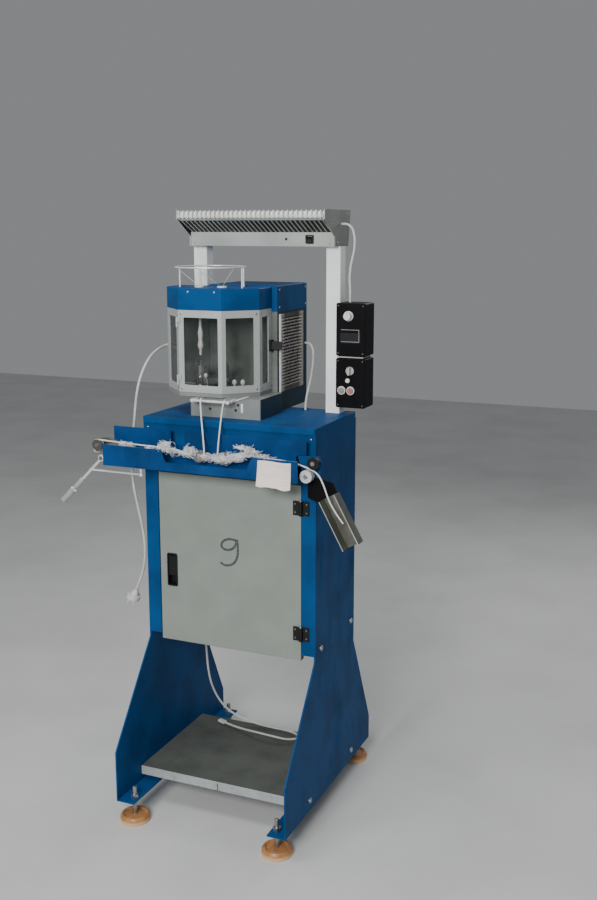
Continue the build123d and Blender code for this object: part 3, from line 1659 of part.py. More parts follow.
# Tapered gland that the mains lead leaves the housing by
gland_nut_radius = 9.0
gland_nut_height = 8.0
gland_x, gland_y, gland_z = lead_points[0]
with BuildPart() as lead_gland:
    disc(Plane.YZ.offset(housing_left), (gland_y, gland_z), gland_nut_radius, -gland_nut_height)
    with BuildSketch(Plane.YZ.offset(housing_left - gland_nut_height)) as wide:
        with Locations((gland_y, gland_z)):
            Circle(2 * lead_radius)
    with BuildSketch(Plane.YZ.offset(gland_x)) as narrow:
        with Locations((gland_y, gland_z)):
            Circle(lead_radius + 1)
    loft([wide.sketch.face(), narrow.sketch.face()])
# Round mains plug at the end of the lead, with two pins
plug_direction = (Vector(*lead_points[-1]) - Vector(*lead_points[-2])).normalized()
plug_start = Vector(*lead_points[-1])
plug_neck_length = 16.0
plug_body_height = 15.0
plug_body_radius = 18.5
plug_pin_pitch = 19.0
plug_pin_radius = 2.4
plug_pin_length = 18.0


def plug_plane(distance):
    return Plane(
        origin=plug_start + plug_direction * distance,
        x_dir=Vector(0, 1, 0).cross(plug_direction),
        z_dir=plug_direction,
    )


with BuildPart() as mains_plug:
    with BuildSketch(plug_plane(0)) as neck:
        Circle(6)
    with BuildSketch(plug_plane(plug_neck_length)) as shoulder:
        Circle(12)
    loft([neck.sketch.face(), shoulder.sketch.face()])
    disc(plug_plane(plug_neck_length), (0, 0), plug_body_radius, plug_body_height)
    fillet(mains_plug.edges().filter_by(GeomType.CIRCLE).group_by(SortBy.RADIUS)[-1], radius=2)
    for x in (-plug_pin_pitch / 2, plug_pin_pitch / 2):
        disc(plug_plane(plug_neck_length + plug_body_height), (x, 0), plug_pin_radius, plug_pin_length)
mains_plug.part.label = "mains_plug"
export_step(mains_plug.part, "parts/mains_plug.step")

# Lower lead: from the cabinet floor down to the shelf, along it and back in a loop
lower_points = [
    (-186, 92, 455),
    (-186, 92, 402),
    (-184, 95, 344),
    (-183, 100, 290),
    (-179, 109, 240),
    (-168, 122, 196),
    (-148, 133, 160),
    (-119, 142, 136),
    (-82, 149, 122),
    (-42, 153, 113),
    (2, 155, 110),
    (46, 154, 111),
    (84, 142, 112),
    (98, 112, 113),
    (74, 88, 117),
    (32, 84, 121),
    (-16, 92, 119),
    (-64, 106, 113),
    (-110, 118, 110.5),
    (-144, 130, 110.5),
]
with BuildPart() as lower_lead:
    add(cord_tube("lower_lead", lower_points, cable_radius))
lower_lead.part.label = "lower_lead"
export_step(lower_lead.part, "parts/lower_lead.step")

# Bush in the cabinet floor that the lower lead leaves by
floor_exit = lower_points[0][:2]
floor_exit_z = lower_points[0][2]
with BuildPart() as floor_gland:
    disc(level(floor_exit_z), floor_exit, 7, cabinet_floor_z - floor_exit_z)
    disc(level(cabinet_floor_z), floor_exit, lower_hole_radius, tray_sheet)
    disc(level(cabinet_floor_z + tray_sheet), floor_exit, lower_hole_radius + 3, 4)
connector_section = (14.0, 7.6)
connector_length = 24.0
connector_direction = (Vector(*lower_points[-1]) - Vector(*lower_points[-2])).normalized()
with BuildPart() as lead_connector:
    across = Vector(0, 0, 1).cross(connector_direction)
    with BuildSketch(Plane(origin=lower_points[-1], x_dir=across, z_dir=connector_direction)):
        RectangleRounded(*connector_section, 2)
    extrude(amount=connector_length)
lead_connector.part.label = "lead_connector"
export_step(lead_connector.part, "parts/lead_connector.step")

# Cable from the housing's rear corner down through the table
drive_cable_points = [
    (housing_right, 262, 1236),
    (70, 262, 1236),
    (84, 253, 1222),
    (92, 238, 1198),
    (98, 214, 1166),
    (103, 186, 1136),
    (105, 162, 1110),
    (105, 151, 1085),
    (105, 150, 1056),
]
# Cable from the trough's right end down the post to the speed box
trough_end = trough_half_length + end_plate_sheet
trough_cable_points = [
    (trough_end, 137, trough_bottom + 57),
    (trough_end + 17, 137, trough_bottom + 57),
    (trough_end + 31, 137, trough_bottom + 46),
    (trough_end + 37, 138, trough_bottom + 21),
    (trough_end + 35, 140, trough_bottom - 11),
    (trough_end + 25, 142, trough_bottom - 45),
    (trough_end + 22, 140, speed_box_z[1] + 64),
    (trough_end + 28, 131, speed_box_z[1] + 33),
    (trough_end + 28, 131, speed_box_z[1]),
]
fixed_cables = Compound(
    label="fixed_cables",
    children=[
        *cord_tube("drive_cable", drive_cable_points, cable_radius).solids(),
        *cord_tube("trough_cable", trough_cable_points, cable_radius).solids(),
        *lead_gland.part.solids(),
        *floor_gland.part.solids(),
    ],
)
export_step(fixed_cables, "parts/fixed_cables.step")

# Knitted cords, from the head to the outlet on the right and to the end wheel on the left
right_cord_points = [
    (-20, -50, 1109),
    (-19, -78, 1113),
    (-15, -105, 1126),
    (-1, -168, 1006),
    (-1, -168, 976.9),
    (13, -168, 968.5),
    (70, -168, 998.8),
    (139, -168, 995),
    (205, -168, 991),
    (252.4, -168, 978.3),
    (273, -169, 967),
    (287, -170, 943),
    (299, -171, 910),
    (316, -171, 879),
    (339, -171, 851),
]
with BuildPart() as right_knit_cord:
    add(cord_tube("right_knit_cord", right_cord_points, knit_cord_radius))
right_knit_cord.part.label = "right_knit_cord"
export_step(right_knit_cord.part, "parts/right_knit_cord.step")

left_cord_points = [
    (-88, -50, 1109),
    (-87, -78, 1113),
    (-84, -105, 1126),
    (-39, -168, 1006),
    (-39, -168, 976.9),
    (-53, -168, 968.5),
    (-108, -168, 997.5),
    (-180, -168, 999),
    (-255, -168, 1001),
    (-318, -168, 1003.5),
    (-361, -168, 1005.4),
    (-369.4, -168, 997),
    (-369.4, -167, 979),
    (-368, -160, 968),
    (-367, -146.3, 966),
]
with BuildPart() as left_knit_cord:
    add(cord_tube("left_knit_cord", left_cord_points, knit_cord_radius))
left_knit_cord.part.label = "left_knit_cord"
export_step(left_knit_cord.part, "parts/left_knit_cord.step")
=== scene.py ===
import math
import random

import bmesh
import bpy
from mathutils import Matrix, Vector


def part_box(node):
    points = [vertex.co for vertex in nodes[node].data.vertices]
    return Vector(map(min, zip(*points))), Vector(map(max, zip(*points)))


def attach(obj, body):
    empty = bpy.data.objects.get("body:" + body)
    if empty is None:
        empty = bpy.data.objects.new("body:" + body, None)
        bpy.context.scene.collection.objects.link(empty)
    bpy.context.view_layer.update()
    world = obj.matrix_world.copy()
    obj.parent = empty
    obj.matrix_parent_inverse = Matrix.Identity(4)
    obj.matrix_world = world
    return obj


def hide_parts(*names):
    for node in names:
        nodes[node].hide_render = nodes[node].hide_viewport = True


# Cord knitting machine on a sheet metal stand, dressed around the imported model.
# Blender works in metres; names in capitals and tables of places are in millimetres unless they
# are said to be in metres.
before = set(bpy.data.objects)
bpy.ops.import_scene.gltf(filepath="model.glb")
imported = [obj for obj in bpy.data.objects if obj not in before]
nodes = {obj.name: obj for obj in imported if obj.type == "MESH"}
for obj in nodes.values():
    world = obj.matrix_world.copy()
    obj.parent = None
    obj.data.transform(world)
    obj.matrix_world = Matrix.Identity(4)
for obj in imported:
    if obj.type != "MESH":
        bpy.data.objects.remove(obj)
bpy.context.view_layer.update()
MM = 0.001
collection = bpy.context.scene.collection


# Point in metres from coordinates in millimetres
def at(x, y, z):
    return Vector((x, y, z)) * MM


# Camera at the photograph's viewing angle, its place in metres and its angles in degrees
IMAGE_WIDTH = 597
IMAGE_HEIGHT = 900
SENSOR_HEIGHT = 36.0
FOCAL_PIXELS = 1088.24
CAMERA_PLACE = (1.2396, -2.5509, 1.5541)
CAMERA_DOWN = 11.579
CAMERA_TURN = 23.16
camera_data = bpy.data.cameras.new("camera")
camera_data.sensor_fit = "VERTICAL"
camera_data.sensor_height = SENSOR_HEIGHT
camera_data.sensor_width = SENSOR_HEIGHT * IMAGE_WIDTH / IMAGE_HEIGHT
camera_data.lens = FOCAL_PIXELS * SENSOR_HEIGHT / IMAGE_HEIGHT
camera = bpy.data.objects.new("camera", camera_data)
camera.location = CAMERA_PLACE
camera.rotation_euler = (math.radians(90 - CAMERA_DOWN), 0, math.radians(CAMERA_TURN))
collection.objects.link(camera)
bpy.context.scene.camera = camera


# Start of a node material: the node tree and its principled shader
def new_material(name):
    material = bpy.data.materials.new(name)
    material.use_nodes = True
    tree = material.node_tree
    return material, tree, tree.nodes["Principled BSDF"]


# Place of the shaded point on the object, in metres
def object_coordinates(tree):
    return tree.nodes.new("ShaderNodeTexCoord").outputs["Object"]


# Noise over the object, its scale in features per metre and its stretch along the three axes
def noise(tree, scale, detail=4.0, roughness=0.55, stretch=(1, 1, 1)):
    mapping = tree.nodes.new("ShaderNodeMapping")
    mapping.inputs["Scale"].default_value = stretch
    tree.links.new(object_coordinates(tree), mapping.inputs["Vector"])
    texture = tree.nodes.new("ShaderNodeTexNoise")
    texture.inputs["Scale"].default_value = scale
    texture.inputs["Detail"].default_value = detail
    texture.inputs["Roughness"].default_value = roughness
    tree.links.new(mapping.outputs["Vector"], texture.inputs["Vector"])
    return texture.outputs["Fac"]


# Turns a grey value between two limits into 0 to 1, smoothly
def between(tree, value, low, high):
    span = tree.nodes.new("ShaderNodeMapRange")
    span.interpolation_type = "SMOOTHSTEP"
    span.inputs["From Min"].default_value = low
    span.inputs["From Max"].default_value = high
    tree.links.new(value, span.inputs["Value"])
    return span.outputs["Result"]


# Value times a factor, plus an offset
def scaled(tree, value, factor, offset=0.0):
    node = tree.nodes.new("ShaderNodeMath")
    node.operation = "MULTIPLY_ADD"
    node.inputs[1].default_value = factor
    node.inputs[2].default_value = offset
    tree.links.new(value, node.inputs[0])
    return node.outputs["Value"]


# Product of two values
def product(tree, first, second):
    node = tree.nodes.new("ShaderNodeMath")
    node.operation = "MULTIPLY"
    tree.links.new(first, node.inputs[0])
    tree.links.new(second, node.inputs[1])
    return node.outputs["Value"]


# Mixes two colours; either may be a colour or a socket
def mixed(tree, factor, first, second):
    node = tree.nodes.new("ShaderNodeMix")
    node.data_type = "RGBA"
    tree.links.new(factor, node.inputs["Factor"])
    for socket, value in ((node.inputs["A"], first), (node.inputs["B"], second)):
        if isinstance(value, tuple):
            socket.default_value = (*value, 1.0)
        else:
            tree.links.new(value, socket)
    return node.outputs["Result"]


# Bump from a grey height, as deep as a distance in metres
def bumped(tree, shader, height, distance, strength=1.0):
    node = tree.nodes.new("ShaderNodeBump")
    node.inputs["Strength"].default_value = strength
    node.inputs["Distance"].default_value = distance
    tree.links.new(height, node.inputs["Height"])
    tree.links.new(node.outputs["Normal"], shader.inputs["Normal"])


# X, Y or Z of a vector
def component(tree, vector, axis):
    node = tree.nodes.new("ShaderNodeSeparateXYZ")
    tree.links.new(vector, node.inputs["Vector"])
    return node.outputs[axis]


# One coordinate of the shaded point, in metres
def coordinate(tree, axis):
    return component(tree, object_coordinates(tree), axis)


# How far the surface looks along an axis, from -1 to 1
def facing(tree, axis):
    geometry = tree.nodes.new("ShaderNodeNewGeometry")
    return component(tree, geometry.outputs["Normal"], axis)


# Dust on sheet metal and its share in a dusty place, and dust on plastic
DUST = (0.33, 0.33, 0.30)
DUST_SHARE = 0.10
PALE_DUST = (0.30, 0.29, 0.27)


# Sprayed paint on sheet metal: fine orange peel, cloudy shade, dull smears and small chips
def sheet_paint(
    name,
    colour,
    shade=0.75,
    roughness=0.38,
    chip=(0.25, 0.26, 0.27),
    chips=0.70,
    dust=0.25,
    gloss=0.35,
):
    material, tree, shader = new_material(name)
    shader.inputs["Specular IOR Level"].default_value = gloss
    darker = tuple(c * shade for c in colour)
    clouds = between(tree, noise(tree, scale=9, detail=5), 0.35, 0.68)
    base = mixed(tree, clouds, colour, darker)
    dusty = tuple(c + DUST_SHARE * (d - c) for c, d in zip(colour, DUST))
    streaks = noise(tree, scale=14, detail=7, roughness=0.65, stretch=(1.0, 1.0, 0.35))
    smears = between(tree, streaks, 0.52, 0.78)
    base = mixed(tree, scaled(tree, smears, dust), base, dusty)
    worn = between(tree, noise(tree, scale=160, detail=6, roughness=0.7), chips, chips + 0.02)
    patches = between(tree, noise(tree, scale=5, detail=3), 0.56, 0.66)
    base = mixed(tree, product(tree, worn, patches), base, chip)
    tree.links.new(base, shader.inputs["Base Color"])
    tree.links.new(scaled(tree, smears, 0.22, roughness), shader.inputs["Roughness"])
    bumped(tree, shader, noise(tree, scale=900, detail=2), distance=0.00012, strength=0.35)
    return material


# Metal with fine lines along one axis and handling marks
def worked_metal(name, colour, roughness=0.32, lines=(1, 1, 12), dirt=0.35, metallic=1.0):
    material, tree, shader = new_material(name)
    shader.inputs["Metallic"].default_value = metallic
    dark = tuple(0.45 * c for c in colour)
    grain = noise(tree, scale=260, detail=3, roughness=0.5, stretch=lines)
    grime = between(tree, noise(tree, scale=38, detail=6, roughness=0.65), 0.50, 0.80)
    base = mixed(tree, scaled(tree, grain, 0.25), colour, dark)
    base = mixed(tree, scaled(tree, grime, dirt), base, (0.10, 0.095, 0.085))
    tree.links.new(base, shader.inputs["Base Color"])
    tree.links.new(scaled(tree, grime, 0.25, roughness), shader.inputs["Roughness"])
    bumped(tree, shader, grain, distance=0.00008, strength=0.4)
    return material


# Moulded plastic or rubber: slight mottling, dust in the texture, fine grain
def moulded(name, colour, roughness=0.45, dusty=0.15):
    material, tree, shader = new_material(name)
    shader.inputs["Specular IOR Level"].default_value = 0.3
    mottle = between(tree, noise(tree, scale=30, detail=4), 0.3, 0.7)
    base = mixed(tree, mottle, colour, tuple(0.82 * c for c in colour))
    smears = between(tree, noise(tree, scale=22, detail=6, roughness=0.65), 0.5, 0.78)
    base = mixed(tree, scaled(tree, smears, dusty), base, PALE_DUST)
    tree.links.new(base, shader.inputs["Base Color"])
    tree.links.new(scaled(tree, smears, 0.2, roughness), shader.inputs["Roughness"])
    bumped(tree, shader, noise(tree, scale=1400, detail=2), distance=0.00006, strength=0.5)
    return material


blue_paint = sheet_paint(
    "blue_paint",
    (0.0012, 0.064, 0.203),
    shade=0.70,
    roughness=0.50,
    chip=(0.16, 0.26, 0.34),
    dust=0.07,
    gloss=0.10,
)
tray_paint = sheet_paint(
    "tray_paint",
    (0.0015, 0.050, 0.178),
    shade=0.60,
    roughness=0.46,
    chip=(0.22, 0.30, 0.36),
    chips=0.66,
    dust=0.25,
    gloss=0.15,
)
# Pale blue for the top edge of the tray's front wall: a painted highlight, with a few chips
edge_highlight_paint = sheet_paint(
    "edge_highlight_paint", (0.30, 0.44, 0.52), shade=0.60, chip=(0.45, 0.45, 0.44), dust=0.3
)
# Dark blue for right-facing side walls: the blue paint darkened into painted shade
shaded_side_paint = sheet_paint(
    "shaded_side_paint", (0.004, 0.030, 0.058), shade=0.72, chip=(0.10, 0.13, 0.15), dust=0.15, gloss=0.15
)
guard_wall = sheet_paint(
    "guard_wall", (0.150, 0.165, 0.150), shade=0.70, roughness=0.5, dust=0.30, gloss=0.2
)
door_paint = sheet_paint(
    "door_paint",
    (0.238, 0.266, 0.238),
    shade=0.90,
    roughness=0.42,
    chip=(0.2, 0.2, 0.19),
    dust=0.35,
)
white_paint = sheet_paint(
    "white_paint", (0.88, 0.89, 0.88), shade=0.95, roughness=0.36, chip=(0.4, 0.4, 0.4), dust=0.10
)
trough_paint = sheet_paint(
    "trough_paint", (0.42, 0.45, 0.42), shade=0.82, chip=(0.25, 0.25, 0.24), dust=0.40
)
# Near-black paint for the trough's soffit under its lip: painted shade
soffit_shade_paint = sheet_paint(
    "soffit_shade_paint", (0.030, 0.034, 0.030), shade=0.60, roughness=0.5, dust=0.20, gloss=0.1
)
# Darker grey for the trough's right end: the trough's grey with painted shade
end_shade_paint = sheet_paint("end_shade_paint", (0.22, 0.23, 0.215), shade=0.80, roughness=0.45, dust=0.40)
block_paint = sheet_paint(
    "block_paint",
    (0.205, 0.220, 0.213),
    shade=0.74,
    roughness=0.40,
    chip=(0.15, 0.15, 0.14),
    chips=0.62,
    dust=0.5,
)
black_paint = sheet_paint(
    "black_paint",
    (0.006, 0.006, 0.007),
    shade=0.70,
    roughness=0.45,
    chip=(0.25, 0.25, 0.25),
    chips=0.74,
    dust=0.02,
    gloss=0.06,
)
motor_paint = sheet_paint(
    "motor_paint", (0.030, 0.032, 0.035), shade=0.70, roughness=0.50, dust=0.30
)
gear_paint = sheet_paint("gear_paint", (0.30, 0.31, 0.31), shade=0.85, roughness=0.45)
aluminium = worked_metal(
    "guard_aluminium", (0.50, 0.53, 0.51), roughness=0.48, lines=(6, 6, 1), dirt=0.30, metallic=0.45
)
zinc = worked_metal("zinc_plate", (0.46, 0.46, 0.44), roughness=0.38, lines=(3, 3, 3), dirt=0.55)
bright_steel = worked_metal(
    "bright_steel", (0.82, 0.82, 0.80), roughness=0.34, lines=(1, 1, 8), dirt=0.10, metallic=0.45
)
dark_steel = worked_metal(
    "dark_steel", (0.16, 0.145, 0.125), roughness=0.42, lines=(2, 2, 2), dirt=0.50, metallic=0.8
)
tool_steel = worked_metal(
    "tool_steel", (0.50, 0.50, 0.50), roughness=0.26, lines=(2, 2, 10), dirt=0.55
)
drawn_steel = worked_metal(
    "drawn_steel", (0.74, 0.74, 0.72), roughness=0.40, lines=(9, 1, 1), dirt=0.35, metallic=0.5
)
black_plastic = moulded("black_plastic", (0.006, 0.006, 0.007), roughness=0.45, dusty=0.05)
wheel_plastic = moulded("wheel_plastic", (0.17, 0.17, 0.16), roughness=0.45, dusty=0.30)
knob_grey = moulded("knob_grey", (0.40, 0.40, 0.38), roughness=0.36, dusty=0.20)
white_plastic = moulded("white_plastic", (0.66, 0.65, 0.61), roughness=0.34, dusty=0.30)
green_plastic = moulded("green_plastic", (0.26, 0.24, 0.20), roughness=0.35)
red_plastic = moulded("red_plastic", (0.42, 0.15, 0.13), roughness=0.35)
rubber = moulded("belt_rubber", (0.014, 0.014, 0.014), roughness=0.60, dusty=0.25)
white_rubber = moulded("cable_sheath", (0.60, 0.60, 0.57), roughness=0.46, dusty=0.35)
ceramic = moulded("ceramic", (0.80, 0.79, 0.75), roughness=0.16, dusty=0.10)


# Shelf: a dull dark top; the front lip and other faces not looking up get a painted highlight
def shelf_material():
    material, tree, shader = new_material("shelf_paint")
    top = between(tree, facing(tree, "Z"), 0.4, 0.6)
    clouds = between(tree, noise(tree, scale=12, detail=6, roughness=0.6), 0.35, 0.75)
    dark = mixed(tree, clouds, (0.088, 0.096, 0.084), (0.062, 0.068, 0.060))
    strokes = noise(tree, scale=45, detail=7, roughness=0.7, stretch=(0.25, 1.0, 1.0))
    scuffs = between(tree, strokes, 0.60, 0.72)
    shader.inputs["Specular IOR Level"].default_value = 0.2
    dark = mixed(tree, scaled(tree, scuffs, 0.35), dark, (0.15, 0.155, 0.14))
    # Lighter tone of the faces that don't look up: painted highlight, with dark marks on it
    light = mixed(tree, clouds, (0.40, 0.43, 0.43), (0.30, 0.32, 0.32))
    marks = between(tree, noise(tree, scale=90, detail=5, roughness=0.7), 0.60, 0.66)
    light = mixed(tree, scaled(tree, marks, 0.6), light, (0.12, 0.12, 0.11))
    tree.links.new(mixed(tree, top, light, dark), shader.inputs["Base Color"])
    tree.links.new(scaled(tree, clouds, 0.15, 0.48), shader.inputs["Roughness"])
    bumped(tree, shader, noise(tree, scale=500, detail=3), distance=0.0001, strength=0.4)
    return material


# Heights in metres between which the foot pads turn from pale to tan
PAD_PALE, PAD_TAN = 0.002, 0.016


# Foot pads: translucent-looking tan nylon, paler and scuffed at the rim
def pad_material():
    material, tree, shader = new_material("pad_nylon")
    height = between(tree, coordinate(tree, "Z"), PAD_PALE, PAD_TAN)
    clouds = between(tree, noise(tree, scale=60, detail=5), 0.35, 0.7)
    tan = mixed(tree, clouds, (0.44, 0.21, 0.080), (0.30, 0.13, 0.05))
    tree.links.new(mixed(tree, height, (0.72, 0.46, 0.22), tan), shader.inputs["Base Color"])
    shader.inputs["Roughness"].default_value = 0.38
    shader.inputs["Specular IOR Level"].default_value = 0.3
    shader.inputs["Subsurface Weight"].default_value = 0.15
    shader.inputs["Subsurface Radius"].default_value = (0.006, 0.003, 0.001)
    bumped(tree, shader, noise(tree, scale=700, detail=3), distance=0.00012, strength=0.5)
    return material


# Places in metres where the chute turns from its edge's painted highlight to painted shade inside
CHUTE_EDGE, CHUTE_INSIDE = -0.1815, -0.1800


# Chute: sheet, pale front edge as a painted highlight, dark olive inside as painted shade
def chute_material():
    material, tree, shader = new_material("chute_sheet")
    shader.inputs["Metallic"].default_value = 0.55
    runs = noise(tree, scale=26, detail=6, roughness=0.6, stretch=(1, 1, 0.4))
    flow = between(tree, runs, 0.35, 0.7)
    inside = mixed(tree, flow, (0.105, 0.109, 0.090), (0.165, 0.170, 0.145))
    pale = mixed(tree, flow, (0.42, 0.43, 0.40), (0.56, 0.57, 0.55))
    edge = between(tree, coordinate(tree, "Y"), CHUTE_EDGE, CHUTE_INSIDE)
    tree.links.new(mixed(tree, edge, pale, inside), shader.inputs["Base Color"])
    tree.links.new(scaled(tree, flow, 0.15, 0.34), shader.inputs["Roughness"])
    bumped(tree, shader, noise(tree, scale=420, detail=3), distance=0.0001, strength=0.35)
    return material


# Upper and lower edge of the guard's glazing, in metres
GLASS_TOP, GLASS_BOTTOM = 1.345, 1.140


# Glazing: thin, dark green-grey, with dust that makes it cloudier towards its lower edge; cover
# is how much of it hides what is behind
def glazing(name, cover):
    material, tree, shader = new_material(name)
    dust = between(tree, noise(tree, scale=18, detail=6, roughness=0.6), 0.35, 0.8)
    low = between(tree, coordinate(tree, "Z"), GLASS_TOP, GLASS_BOTTOM)
    cloud = product(tree, dust, low)
    base = mixed(tree, cloud, (0.045, 0.060, 0.054), (0.16, 0.17, 0.16))
    tree.links.new(base, shader.inputs["Base Color"])
    tree.links.new(scaled(tree, cloud, 0.16, cover), shader.inputs["Alpha"])
    tree.links.new(scaled(tree, cloud, 0.30, 0.05), shader.inputs["Roughness"])
    return material


# Knitted cord: off-white yarn with a fine crossing texture
def cord_yarn():
    material, tree, shader = new_material("knitted_yarn")
    loops = noise(tree, scale=900, detail=2, roughness=0.4)
    base = mixed(tree, loops, (0.84, 0.83, 0.79), (0.50, 0.49, 0.46))
    tree.links.new(base, shader.inputs["Base Color"])
    shader.inputs["Roughness"].default_value = 0.85
    shader.inputs["Sheen Weight"].default_value = 0.4
    bumped(tree, shader, loops, distance=0.0004, strength=0.9)
    return material


# Loose lint: white fibre, greyer in places
def lint_material():
    material, tree, shader = new_material("lint_fibre")
    tone = between(tree, noise(tree, scale=55, detail=4), 0.35, 0.65)
    base = mixed(tree, tone, (0.94, 0.94, 0.92), (0.62, 0.62, 0.60))
    tree.links.new(base, shader.inputs["Base Color"])
    shader.inputs["Roughness"].default_value = 0.9
    shader.inputs["Sheen Weight"].default_value = 0.5
    return material


# Paper: pink-grey, stained, with faint bands
def paper_material():
    material, tree, shader = new_material("note_paper")
    stain = between(tree, noise(tree, scale=24, detail=5), 0.35, 0.75)
    base = mixed(tree, stain, (0.84, 0.76, 0.69), (0.74, 0.64, 0.57))
    stripes = noise(tree, scale=60, detail=2, roughness=0.5, stretch=(0.15, 0.15, 4))
    bands = between(tree, stripes, 0.52, 0.60)
    base = mixed(tree, scaled(tree, bands, 0.30), base, (0.60, 0.50, 0.43))
    tree.links.new(base, shader.inputs["Base Color"])
    shader.inputs["Roughness"].default_value = 0.82
    bumped(tree, shader, noise(tree, scale=1200, detail=3), distance=0.00008, strength=0.5)
    return material


# The louvre's slats from their outer edges inwards, and its opening's front and rear end with
# the frame beyond them, in metres and each as two places that a tone runs between
SLAT_DEPTH = (0.0588, 0.0555)
OPENING_FRONT, OPENING_REAR = (0.100, 0.124), (0.232, 0.205)
FRAME_FRONT, FRAME_REAR = (0.098, 0.094), (0.210, 0.230)


# Louvre: cream moulding, dusty, its slatted opening painted near-black brown as painted shade
def louvre_material():
    material, tree, shader = new_material("louvre_cream")
    depth = coordinate(tree, "Y")
    behind = between(tree, coordinate(tree, "X"), *SLAT_DEPTH)
    past_front = between(tree, depth, *OPENING_FRONT)
    before_rear = between(tree, depth, *OPENING_REAR)
    middle = product(tree, past_front, before_rear)
    drifts = noise(tree, scale=30, detail=6, roughness=0.6, stretch=(1, 1, 0.5))
    soot = between(tree, drifts, 0.30, 0.62)
    cream = mixed(tree, soot, (0.74, 0.72, 0.66), (0.56, 0.52, 0.46))
    # Near-black brown of the slatted opening: painted shade
    slat_shade = mixed(tree, soot, (0.075, 0.054, 0.043), (0.028, 0.021, 0.018))
    front = between(tree, depth, *FRAME_FRONT)
    rear = between(tree, depth, *FRAME_REAR)
    frame_tone = mixed(tree, front, (0.30, 0.30, 0.27), cream)
    face = mixed(tree, scaled(tree, middle, 0.94), frame_tone, slat_shade)
    face = mixed(tree, scaled(tree, rear, 0.5), face, (0.34, 0.31, 0.27))
    # Surfaces behind the slats' outer edges take the full painted shade
    base = mixed(tree, product(tree, behind, middle), face, slat_shade)
    tree.links.new(base, shader.inputs["Base Color"])
    shader.inputs["Roughness"].default_value = 0.50
    shader.inputs["Specular IOR Level"].default_value = 0.25
    bumped(tree, shader, noise(tree, scale=800, detail=2), distance=0.00008, strength=0.4)
    return material


shelf_paint = shelf_material()
pad_nylon = pad_material()
chute_sheet = chute_material()
glass = glazing("guard_glazing", cover=0.12)
side_glass = glazing("side_glazing", cover=0.45)
yarn = cord_yarn()
lint_fibre = lint_material()
paper = paper_material()
louvre_cream = louvre_material()

node_materials = {
    blue_paint: [
        "left_side_plate",
        "right_side_plate",
        "front_apron",
        "cabinet_sheets",
        "table_top",
        "cap",
        "housing_shell",
        "housing_lid",
    ],
    tray_paint: ["take_down_tray"],
    door_paint: ["front_door"],
    white_paint: ["gantry_posts"],
    trough_paint: ["stop_motion_trough"],
    block_paint: ["head_block"],
    black_paint: ["tray_brackets", "control_boxes"],
    motor_paint: ["drive_motor"],
    gear_paint: ["control_gear"],
    aluminium: ["guard_frame", "guard_door"],
    zinc: ["frame_fasteners"],
    bright_steel: ["dancer_arm", "axles_and_rods", "yarn_guides"],
    tool_steel: [
        "left_needle_cylinder",
        "right_needle_cylinder",
        "drive_shaft",
        "motor_pulley",
        "cam_housing",
    ],
    drawn_steel: ["take_off_roller"],
    black_plastic: [
        "hinge_frame_leaves",
        "hinge_door_leaves",
        "door_handle_cup",
        "door_handle_paddle",
        "outlet_pulley",
        "guard_latch",
        "panel_fittings",
        "rocker_switch",
    ],
    wheel_plastic: ["left_guide_wheel", "right_guide_wheel"],
    knob_grey: ["selector_switch"],
    dark_steel: ["left_end_pulley"],
    white_plastic: ["yarn_comb", "speed_knob", "lead_connector"],
    green_plastic: ["start_button"],
    red_plastic: ["stop_button"],
    rubber: ["drive_belt"],
    white_rubber: ["fixed_cables", "mains_plug"],
    shelf_paint: ["shelf"],
    pad_nylon: ["foot_pads"],
    chute_sheet: ["chute"],
    glass: ["guard_door_panes"],
    side_glass: ["guard_frame_panes"],
    louvre_cream: ["louvre_panel"],
    paper: ["paper_note"],
    yarn: ["left_knit_cord", "right_knit_cord", "mains_lead", "lower_lead"],
}
for material, names in node_materials.items():
    for name in names:
        nodes[name].data.materials.clear()
        nodes[name].data.materials.append(material)


# Gives the faces of a node whose middle lies in a box another material
def paint_box(name, material, low, high):
    mesh = nodes[name].data
    mesh.materials.append(material)
    index = len(mesh.materials) - 1
    low = Vector(low) * MM
    high = Vector(high) * MM
    for face in mesh.polygons:
        if all(a <= c <= b for a, c, b in zip(low, face.center, high)):
            face.material_index = index


